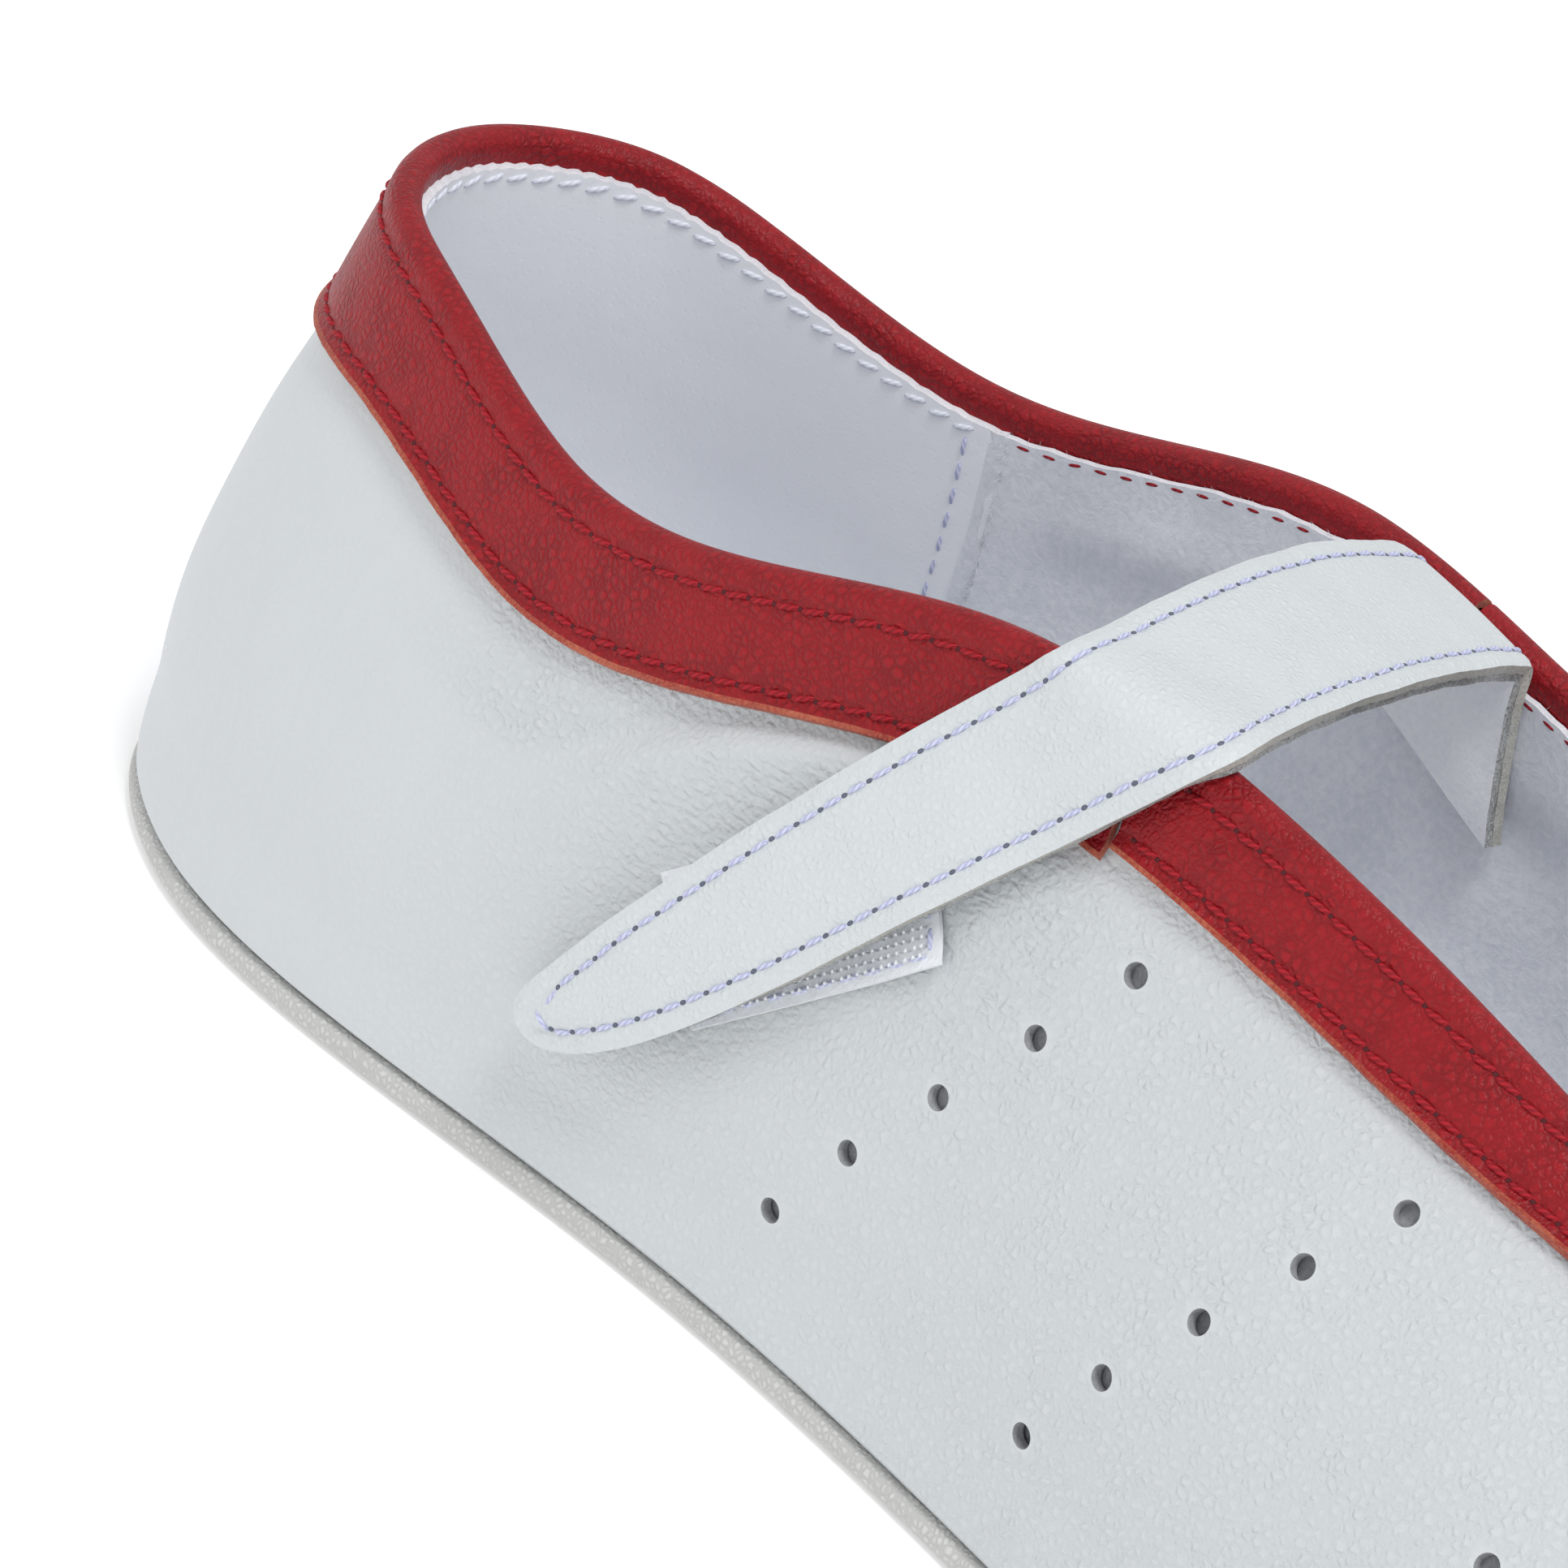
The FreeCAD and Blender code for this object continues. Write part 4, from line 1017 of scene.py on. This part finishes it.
def make_linings():
    heel = cut_sheet("heel_lining_skin", 170, 44, lining_place(-SEAM - 0.003, SEAM + 0.003, True))
    dress(heel, [HEEL_LINING, FRAY])
    thicken(heel, LINING, rim=1)
    smooth_faces(heel)
    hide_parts("heel_lining")
    fore = cut_sheet("forepart_lining_skin", 360, 44, lining_place(SEAM + 0.0004, 1 - SEAM - 0.0004, False))
    dress(fore, [FORE_SUEDE, FRAY, FLESH])
    thicken(fore, LINING - 0.15, rim=1, under=2)
    smooth_faces(fore)
    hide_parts("forepart_lining")
    for piece in (heel, fore):
        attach(piece, "shoe")


def inside_track(start, stop, below, extra):
    """Path inside the shoe on the lining, below the collar."""
    shares = np.linspace(start, stop, 900)
    point, normal, up = skin(shares, climb_at(shares, below), -WALL_STACK - LINING - extra)
    return Track(point, -normal)


def down_track(share, high, low, extra):
    """Path down the lining beside a seam."""
    below = np.linspace(high, low, 160)
    point, normal, up = skin(np.full(160, share), climb_at(np.full(160, share), below), -WALL_STACK - LINING - extra)
    return Track(point, -normal)


def make_lining_seams():
    for side, seam in (("outer", SEAM), ("inner", 1 - SEAM)):
        toward_heel = -1 if side == "outer" else 1
        row = down_track(seam + toward_heel * 0.0035, 2.5, 40.0, 0.05)
        made = sew("seam_stitches_" + side, FINE_STITCH, row, "shoe", WHITE_THREAD)
        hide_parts("seam_thread_" + side)
        edge = down_track(seam - toward_heel * 0.0035, 1.5, 42.0, 0.02)
        fray("seam_fuzz_" + side, edge.points, edge.ups, 420, 0.9, "shoe", FRAY, 0.9)


make_linings()
make_lining_seams()

# --- Collar bands ------------------------------------------------------------------------------------

REAR_WIDTH = 10.3
FRONT_WIDTH = 9.0
SPLIT_OUTER = 0.2295
SPLIT_INNER = 0.7840
SPLIT_GAP = 0.0006
FLAP_INSIDE = 4.5
HEEL_FLARE = 3.2
FLARE_FULL, FLARE_END = 0.02, 0.11
ROW_TOP = 1.6
ROW_MARGIN = 1.5
BAND_COLUMNS = 420


def band_drop(share, width):
    """Width of a band's outer flap: it grows toward the back of the heel."""
    side = np.minimum(np.mod(share, 1.0), np.mod(-share, 1.0))
    return width + HEEL_FLARE * (1 - smooth(side, FLARE_FULL, FLARE_END))


def band_place(start, stop, flap):
    out = SKIN_GAP + BAND + 0.06
    roll = math.pi * (LEATHER / 2 + out)

    def place(along, over):
        share = start + (stop - start) * along
        width = band_drop(share, flap)
        run = over * (width + roll + FLAP_INSIDE)
        edge, normal, up = skin(share, np.ones(share.shape))
        cut = 0.04 * ragged(along * 240, 0.9) + 0.05 * ragged(along * 240, 3.7)
        below = np.clip(width + cut * (1 - smooth(run, 0, 1.5)) - run, 0, None)
        groove = sum(-0.14 * np.exp(-((run - (width - row)) / 0.42) ** 2) for row in (ROW_TOP, width - ROW_MARGIN))
        belly = 0.12 * np.sin(np.clip((run - ROW_MARGIN) / (width - ROW_TOP - ROW_MARGIN), 0, 1) * math.pi)
        lip = 0.35 * np.exp(-(run / 0.6) ** 2)
        outside = skin(share, climb_at(share, below), out + groove + belly + lip)[0]
        angle = np.clip((run - width) / roll, 0, 1) * math.pi
        bend = normal * np.cos(angle)[:, None] + up * np.sin(angle)[:, None]
        over_edge = edge - normal * (LEATHER / 2) + bend * (LEATHER / 2 + out)
        inside = skin(share, climb_at(share, np.clip(run - width - roll, 0, None)), -LEATHER - out)[0]
        point = np.where((run < width)[:, None], outside, over_edge)
        return np.where((run > width + roll)[:, None], inside, point)
    return place


def band_track(shares, below):
    point, normal, up = skin(shares, climb_at(shares, below), SKIN_GAP + BAND - 0.04)
    return Track(point, normal)


def make_bands():
    bands = [("rear", SPLIT_INNER - 1 + SPLIT_GAP, SPLIT_OUTER - SPLIT_GAP, REAR_WIDTH),
             ("front", SPLIT_OUTER + SPLIT_GAP, SPLIT_INNER - SPLIT_GAP, FRONT_WIDTH)]
    for label, start, stop, width in bands:
        band = cut_sheet(label + "_band_hide", BAND_COLUMNS, 46, band_place(start, stop, width))
        dress(band, [RED, RAW_RED])
        for face in band.data.polygons[:BAND_COLUMNS]:
            face.material_index = 1
        thicken(band, BAND, rim=1)
        smooth_faces(band)
        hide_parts(label + "_band")
        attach(band, "shoe")
        shares = np.linspace(start + 0.003, stop - 0.003, 1500)
        drop_line = band_drop(shares, width)
        for row, below in (("upper", 0 * shares + ROW_TOP), ("lower", drop_line - ROW_MARGIN)):
            track = band_track(shares, below)
            made = sew("%s_band_stitches_%s" % (label, row), STITCH, track, "shoe", RED_THREAD,
                       slant=0.10, dots="%s_band_painted_hole_shade_%s" % (label, row), hole=RED_HOLE_SHADE)
            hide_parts("%s_band_thread_%s" % (label, row))
        point, normal, up = skin(shares, climb_at(shares, drop_line), 0.45)
        fray(label + "_band_fuzz", point, -up + normal * 0.3, 620, 0.55, "shoe", RAW_RED, 0.55, 0.8)


make_bands()

for name, start, stop in (("fore_edge_stitches", SEAM + 0.004, SPLIT_INNER - 0.004),
                          ("quarter_edge_stitches", 0.815, 1 - SEAM - 0.004)):
    sew(name, FINE_STITCH, inside_track(start, stop, 1.65, 0.02), "shoe", RED_THREAD, lift=-0.12)
heel_row = inside_track(-SEAM + 0.002, SEAM - 0.002, 2.1, 0.02)
sew("heel_edge_stitches", STITCH, heel_row, "shoe", PALE_THREAD, slant=0.35, lift=0.02)
frayed_top = inside_track(SEAM, 1 - SEAM, 1.4, -0.3)
fray("lining_top_fuzz", frayed_top.points, frayed_top.ups * 0.5 + (0, 0, 1), 900, 0.7, "shoe", FRAY,
     0.6)

# --- Strap -------------------------------------------------------------------------------------------

PLY = 1.0
STRAP = 2 * PLY + SKIN_GAP
TAB_START = np.array([104.9, 0, 60.0])
TAB_RUN = np.array([-0.623, 0, -0.782])
TAB_SIDE = np.array([0.782, 0, -0.623])
TAB_EDGES = [
    (4.0, -6.9, 6.9), (10.0, -6.6, 7.1), (17.0, -6.1, 7.2), (24.0, -5.7, 7.2), (31.0, -5.2, 7.0),
    (37.0, -4.7, 6.6), (42.0, -4.3, 6.0), (46.0, -3.9, 5.3), (49.5, -3.6, 4.4), (52.5, -3.3, 3.4),
    (54.6, -3.0, 2.35), (56.0, -2.5, 1.3), (56.8, -1.75, 0.2), (57.05, -1.1, -0.5),
]
TAB_LIFT = [(4.0, 3.55), (9.0, 3.95), (14.0, 4.5), (44.0, 4.5), (50.0, 4.05), (56.8, 3.45)]
SPAN_ROWS = [
    (21.0, (95.0, 65.0), (110.3, 62.0)), (17.0, (95.3, 66.0), (110.8, 62.9)), (10.0, (96.0, 67.4), (111.7, 64.2)),
    (2.0, (97.0, 68.4), (113.0, 65.5)), (-7.0, (98.5, 69.1), (114.6, 66.6)),
    (-15.0, (99.7, 69.1), (115.9, 67.2)), (-21.5, (100.5, 68.5), (117.1, 67.4)),
]
CREST = [(100.9, 117.9, 62)]
CREST_REACH = LEATHER / 2 + SKIN_GAP + BAND + 0.75 + STRAP
FOLD_DEPTH = WALL_STACK + LINING + GLUE
ROOT_STEPS = [1.0, 0.8, 0.6, 0.4, 0.2, 0.0]
COLUMNS = 7
NOTES = np.linspace(0.0, 1.0, COLUMNS)


def quarter(run, side, lift, soft=False):
    """Point above the outer quarter at strap measures: run down it, side forward."""
    flat = TAB_START + TAB_RUN * np.asarray(run)[..., None] + TAB_SIDE * np.asarray(side)[..., None]
    share, climb = find_on_side(flat[..., 0], flat[..., 2], 0.19, 0.6)
    return (soft_skin if soft else skin)(share, climb, lift)


def tab_lift(run):
    return reading(TAB_LIFT, run)


def strap_grid():
    """Rows of the strap's grain face, root to tip, and where the root and the bridge end."""
    rows = []
    x = 95.0 + 15.0 * NOTES
    share = collar_share(x, 0.79)
    depth = 10.0 + 4.5 * NOTES
    for step in ROOT_STEPS:
        rows.append(skin(share, climb_at(share, depth * step), -FOLD_DEPTH)[0])
    rows.append(rows[-1] + (0, -0.1, 1.3))
    root = len(rows)
    for y, back, front in SPAN_ROWS:
        first, last = np.array([back[0], y, back[1]]), np.array([front[0], y, front[1]])
        rows.append(first + (last - first) * NOTES[:, None])
    for back, front, angle in CREST:
        edge, normal, up = skin(collar_share(back + (front - back) * NOTES, 0.22), np.ones(COLUMNS))
        turn = math.radians(angle)
        rows.append(edge - normal * (LEATHER / 2) + (normal * math.cos(turn) + up * math.sin(turn)) * CREST_REACH)
    bridge = len(rows)
    for run, rear, front in TAB_EDGES:
        sides = rear + (front - rear) * NOTES
        rows.append(quarter(np.full(COLUMNS, run), sides, tab_lift(run))[0])
    return np.array(rows), root, bridge


STRAP_ROWS, ROOT_END, BRIDGE_END = strap_grid()
STEPS = np.maximum(np.linalg.norm(np.diff(STRAP_ROWS, axis=0), axis=2).max(axis=1), 0.2)
STRAP_KNOTS = np.concatenate([[0.0], np.cumsum(STEPS)])
LENGTHWISE = Curve(STRAP_KNOTS, STRAP_ROWS.reshape(len(STRAP_ROWS), -1), False)
CROSSWISE = Curve(np.arange(COLUMNS), np.eye(COLUMNS), False)
STRAP_END = STRAP_KNOTS[-1]
STRAP_MIDDLE = STRAP_KNOTS[ROOT_END + 3]


def strap_raw(run, across):
    rows = LENGTHWISE.at(run)[0].reshape(-1, COLUMNS, 3)
    weights = CROSSWISE.at(across * (COLUMNS - 1))[0]
    return np.einsum("nk,nkc->nc", weights, rows)


def strap_face(run, across, lift=0.0):
    """Point and upward normal of the strap's grain face."""
    nudge = 0.05
    run_low, run_high = np.clip(run - nudge, 0, STRAP_END), np.clip(run + nudge, 0, STRAP_END)
    low, high = np.clip(across - 0.01, 0, 1), np.clip(across + 0.01, 0, 1)
    ahead = strap_raw(run_high, across) - strap_raw(run_low, across)
    over = strap_raw(run, high) - strap_raw(run, low)
    normal = unit(np.cross(ahead, over))
    lift = np.broadcast_to(lift, np.shape(run))
    return strap_raw(run, across) + normal * lift[:, None], normal


LADDER = np.array([0.0, 0.12, 0.35, 0.7, 1.1, 1.45, 1.7, 1.9, 2.1, 2.3, 2.55, 2.95, 3.5])
STITCH_INSET = 1.9


def strap_width(run):
    return np.linalg.norm(strap_raw(run, np.ones(len(run))) - strap_raw(run, np.zeros(len(run))), axis=1)


def strap_waves(run, across):
    """Slight unevenness of the strap's face, in mm."""
    return 0.10 * np.sin(run / 3.1) * np.sin(across * 5 + run / 7) + 0.04 * np.sin(run / 1.35 + across * 3)


def cross_places(over, width):
    """Across position for an even 0..1, crowded near both edges, where the stitch rows run."""
    rungs = len(LADDER)
    count = 2 * rungs + 9
    index = over * (count - 1)
    half = np.minimum(index, count - 1 - index)
    reach = np.minimum(1.0, width / (2.4 * LADDER[-1]))
    edge = np.interp(half, np.arange(rungs), LADDER) * reach
    middle_share = np.clip((half - (rungs - 1)) / ((count - 1) / 2 - (rungs - 1)), 0, 1)
    inner = LADDER[-1] * reach
    spot = np.where(half <= rungs - 1, edge, inner + (width / 2 - inner) * middle_share) / width
    return np.where(index <= (count - 1) / 2, spot, 1 - spot)


STRAP_ACROSS = 2 * len(LADDER) + 8


def strap_place(start, stop, drop_by, inset):
    def place(along, over):
        run = start + (stop - start) * along
        width = np.maximum(strap_width(run), 0.3)
        across = cross_places(over, width)
        from_edge = np.minimum(across, 1 - across) * width
        groove = -0.16 * np.exp(-((from_edge - STITCH_INSET) / 0.35) ** 2) * smooth(width, 3.5, 5.5)
        droop = -0.22 * np.exp(-(from_edge / 0.45) ** 2)
        waves = strap_waves(run, across)
        pucker = 0.05 * np.cos(run / PITCH * 2 * math.pi) * np.exp(-((from_edge - 0.9) / 0.8) ** 2)
        if drop_by == 0:
            lift = groove + droop + waves + pucker
        else:
            lift = waves - drop_by
        trim = inset * (1 + 0.35 * ragged(run, 2.3))
        across = trim / width + across * (1 - 2 * trim / width)
        return strap_face(run, across, lift)[0]
    return place


def bend_with(piece, half):
    if half == "root":
        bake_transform(piece)
    else:
        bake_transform(piece)


def make_strap():
    halves = {"root": (0.0, STRAP_MIDDLE, 150), "free": (STRAP_MIDDLE, STRAP_END, 190)}
    stands_for = {
        ("root", "grain"): ["strap_bridge_grain", "strap_root"], ("root", "suede"): ["strap_bridge_suede"],
        ("free", "grain"): ["strap_tab_grain"], ("free", "suede"): ["strap_tab_suede"],
    }
    for half, (start, stop, count) in halves.items():
        grain = cut_sheet("strap_grain_" + half, count, STRAP_ACROSS, strap_place(start, stop, 0, 0.02))
        dress(grain, [WHITE_STRAP, RAW_WHITE])
        thicken(grain, PLY - 0.05, rim=1, under=1)
        suede = cut_sheet("strap_suede_" + half, count, STRAP_ACROSS, strap_place(start, stop, PLY + 0.06, 0.22))
        dress(suede, [STRAP_SUEDE, STRAP_SUEDE, UNDER_PLY])
        thicken(suede, PLY - 0.05, rim=1, under=2)
        for kind, piece in (("grain", grain), ("suede", suede)):
            smooth_faces(piece)
            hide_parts(*stands_for[half, kind])
            bend_with(piece, half)


def edge_path(runs, from_rear):
    width = strap_width(runs)
    across = STITCH_INSET / width if from_rear else 1 - STITCH_INSET / width
    return strap_face(runs, across, strap_waves(runs, across) - 0.13)


def make_strap_stitches():
    first = STRAP_KNOTS[1]
    for side, from_rear in (("rear", True), ("front", False)):
        runs = np.linspace(first, STRAP_MIDDLE, 500)
        points, ups = edge_path(runs, from_rear)
        made = sew("strap_stitches_root_" + side, FINE_STITCH, Track(points, ups), None, WHITE_THREAD,
                   lift=0.10, dots="strap_holes_root_" + side)
        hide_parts("strap_bridge_thread_" + side)
        for piece in made:
            bend_with(piece, "root")
    turn = STRAP_KNOTS[BRIDGE_END + 8] + 1.2
    runs = np.linspace(STRAP_MIDDLE, turn, 500)
    rear, rear_ups = edge_path(runs, True)
    front, front_ups = edge_path(runs, False)
    tip, tip_ups = [], []
    for run, side in ((51.9, -1.15), (53.2, -0.75), (54.0, -0.15), (53.6, 0.75), (52.3, 1.6)):
        point, normal, up = quarter(np.array([run]), np.array([side]), tab_lift(run) - 0.12)
        tip.append(point[0])
        tip_ups.append(normal[0])
    points = np.vstack([rear, tip, front[::-1]])
    ups = np.vstack([rear_ups, tip_ups, front_ups[::-1]])
    made = sew("strap_stitches_free", FINE_STITCH, Track(points, ups), None, WHITE_THREAD,
               lift=0.10, dots="strap_painted_hole_shade_free")
    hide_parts("strap_tab_thread")
    for piece in made:
        bend_with(piece, "free")


def make_strap_fuzz():
    halves = (("root", STRAP_KNOTS[1], STRAP_MIDDLE, 380), ("free", STRAP_MIDDLE, STRAP_END - 1, 700))
    for half, start, stop, count in halves:
        for side, across, drop_by, finish in (("rear", 0.0, 1.0, FRAY), ("front", 1.0, 1.5, STRAP_SUEDE)):
            runs = np.linspace(start, stop, 600)
            point, normal = strap_face(runs, np.full(600, across), -drop_by)
            inward = strap_face(runs, np.full(600, 0.5))[0] - point
            piece = fray("strap_fuzz_%s_%s" % (half, side), point + unit(inward) * 0.2, unit(-inward) - normal * 0.2,
                         count, 0.30, None, finish, 0.5, 0.6)
            bend_with(piece, half)


make_strap()
make_strap_stitches()
make_strap_fuzz()

# --- Hook and loop tape --------------------------------------------------------------------------------

HOOK_CORNER = (16.6, 10.6)
HOOK_TILT = math.radians(-10.3)
HOOK_LENGTH = 26.0
HOOK_WIDTH = 12.5
HOOK_HEM = 0.9


def hook_spot(down, back, lift):
    """Point on the hook tape: down along it from the front corner, back across it."""
    run = HOOK_CORNER[0] + down * math.cos(HOOK_TILT) + back * math.sin(HOOK_TILT)
    side = HOOK_CORNER[1] + down * math.sin(HOOK_TILT) - back * math.cos(HOOK_TILT)
    return quarter(run, side, lift, soft=True)


def corner_lift(down, back):
    return 0.75 * np.exp(-((down / 5.0) ** 2 + (back / 2.6) ** 2)) + 0.25 * np.exp(-(back / 1.0) ** 2)


def make_tapes():
    def place(along, over):
        down, back = along * HOOK_LENGTH, (1 - over) * HOOK_WIDTH
        return hook_spot(down, back, 0.50 + corner_lift(down, back))[0]
    base = cut_sheet("hook_tape_base", 52, 26, place)
    dress(base, [HOOKS])
    thicken(base, 0.42)
    smooth_faces(base)
    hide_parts("hook_tape")
    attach(base, "shoe")
    hook = start_from(bpy.ops.mesh.primitive_cylinder_add, "hook", vertices=6, radius=0.11 * MM, depth=0.62 * MM,
                      location=(0, 0, 0.31 * MM))
    alone(hook)
    bpy.ops.object.transform_apply(location=True)
    bpy.ops.object.mode_set(mode="EDIT")
    bpy.ops.mesh.select_all(action="DESELECT")
    bpy.ops.object.mode_set(mode="OBJECT")
    top = max(hook.data.polygons, key=lambda face: face.center.z)
    top.select = True
    bpy.ops.object.mode_set(mode="EDIT")
    bpy.ops.mesh.select_mode(type="FACE")
    bpy.ops.mesh.extrude_region_move(TRANSFORM_OT_translate={"value": (0.05 * MM, 0, 0.10 * MM)})
    bpy.ops.transform.resize(value=(1.9, 1.5, 1.0))
    bpy.ops.mesh.extrude_region_move(TRANSFORM_OT_translate={"value": (0.10 * MM, 0, 0.07 * MM)})
    bpy.ops.transform.resize(value=(0.55, 0.6, 1.0))
    bpy.ops.object.mode_set(mode="OBJECT")
    downs, backs = np.meshgrid(np.arange(1.3, HOOK_LENGTH - 1.0, 0.85), np.arange(0.9, HOOK_WIDTH - 0.8, 0.72))
    downs, backs = downs.ravel(), backs.ravel()
    downs = downs + random.normal(0, 0.05, downs.shape)
    point, normal, up = hook_spot(downs, backs, 0.48 + corner_lift(downs, backs))
    hooks = repeat("tape_hooks", hook, point, vary(up, normal, 0.2), normal)
    dress(hooks, [HOOKS])
    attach(hooks, "shoe")
    drop(hook)
    far, wide = HOOK_LENGTH - HOOK_HEM, HOOK_WIDTH - HOOK_HEM
    hem = follow_line([(HOOK_HEM, HOOK_HEM), (far, HOOK_HEM), (far, wide), (HOOK_HEM, wide), (HOOK_HEM, HOOK_HEM)])
    down, back = hem(np.linspace(0, 1, 400)).T
    point, normal, up = hook_spot(down, back, 0.52 + corner_lift(down, back))
    sew("hook_tape_stitches", FINE_STITCH, Track(point, normal), "shoe", WHITE_THREAD)

    def loop_spot(along, over, drop_by):
        run = 15.0 + 28.0 * along
        taper = smooth(run, 30.0, 43.0)
        side = (-4.3 + taper) + (10.1 - 2 * taper) * over
        return quarter(run, side, tab_lift(run) - STRAP - drop_by)
    pile = cut_sheet("loop_tape_pile", 60, 26, lambda along, over: loop_spot(1 - along, over, 1.1 + 0.1 * ragged(
        along * 28 + over * 5, 0.6))[0])
    dress(pile, [LOOPS])
    thicken(pile, 0.9)
    smooth_faces(pile)
    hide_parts("loop_tape")
    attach(pile, "strap_tab")
    for side, over in (("rear", 0.0), ("front", 1.0)):
        along = np.linspace(0, 1, 300)
        point, normal, up = loop_spot(along, np.full(300, over), 0.7)
        edge = loop_spot(along, np.full(300, 0.5), 0.7)[0]
        fray("loop_fuzz_" + side, point, unit(point - edge) - normal * 0.6, 260, 0.8, "strap_tab", LOOPS,
             0.7, 0.7)


make_tapes()

for shape in (STITCH, FINE_STITCH, DOT, FIBRE):
    drop(shape)

# --- Floor and light -------------------------------------------------------------------------------------

LAMPS = [("key", (0.42, -0.36, 1.25), 0.4, 8.5), ("left", (-1.10, -0.30, 0.60), 0.8, 1.0)]


def make_studio():
    floor = start_from(bpy.ops.mesh.primitive_grid_add, "studio_floor", x_subdivisions=8, y_subdivisions=8, size=6.0,
                       location=(0, 0, -0.0002))
    paint = Finish("pale_floor")
    haze = paint.noise(300.0, 1.0)
    colour = paint.blend(haze, rgb(0.93, 0.93, 0.93), rgb(0.95, 0.95, 0.95))
    floor.data.materials.append(paint.complete(colour, 0.8 + haze * 0.1, haze * 0.01,
                                               {"Emission Color": (1, 1, 1, 1), "Emission Strength": 0.24}))
    world = bpy.data.worlds.new("studio_air")
    bpy.context.scene.world = world
    world.use_nodes = True
    world.node_tree.nodes["Background"].inputs["Color"].default_value = (0.97, 0.985, 1.0, 1.0)
    world.node_tree.nodes["Background"].inputs["Strength"].default_value = 0.70
    for name, place, size, power in LAMPS:
        lamp = bpy.data.lights.new(name, "AREA")
        lamp.energy = power
        lamp.size = size
        holder = bpy.data.objects.new(name, lamp)
        bpy.context.scene.collection.objects.link(holder)
        holder.location = place
        holder.rotation_euler = (Vector((-0.06, 0, 0.03)) - Vector(place)).to_track_quat("-Z", "Y").to_euler()
    bpy.context.scene.view_settings.view_transform = "Standard"


make_studio()
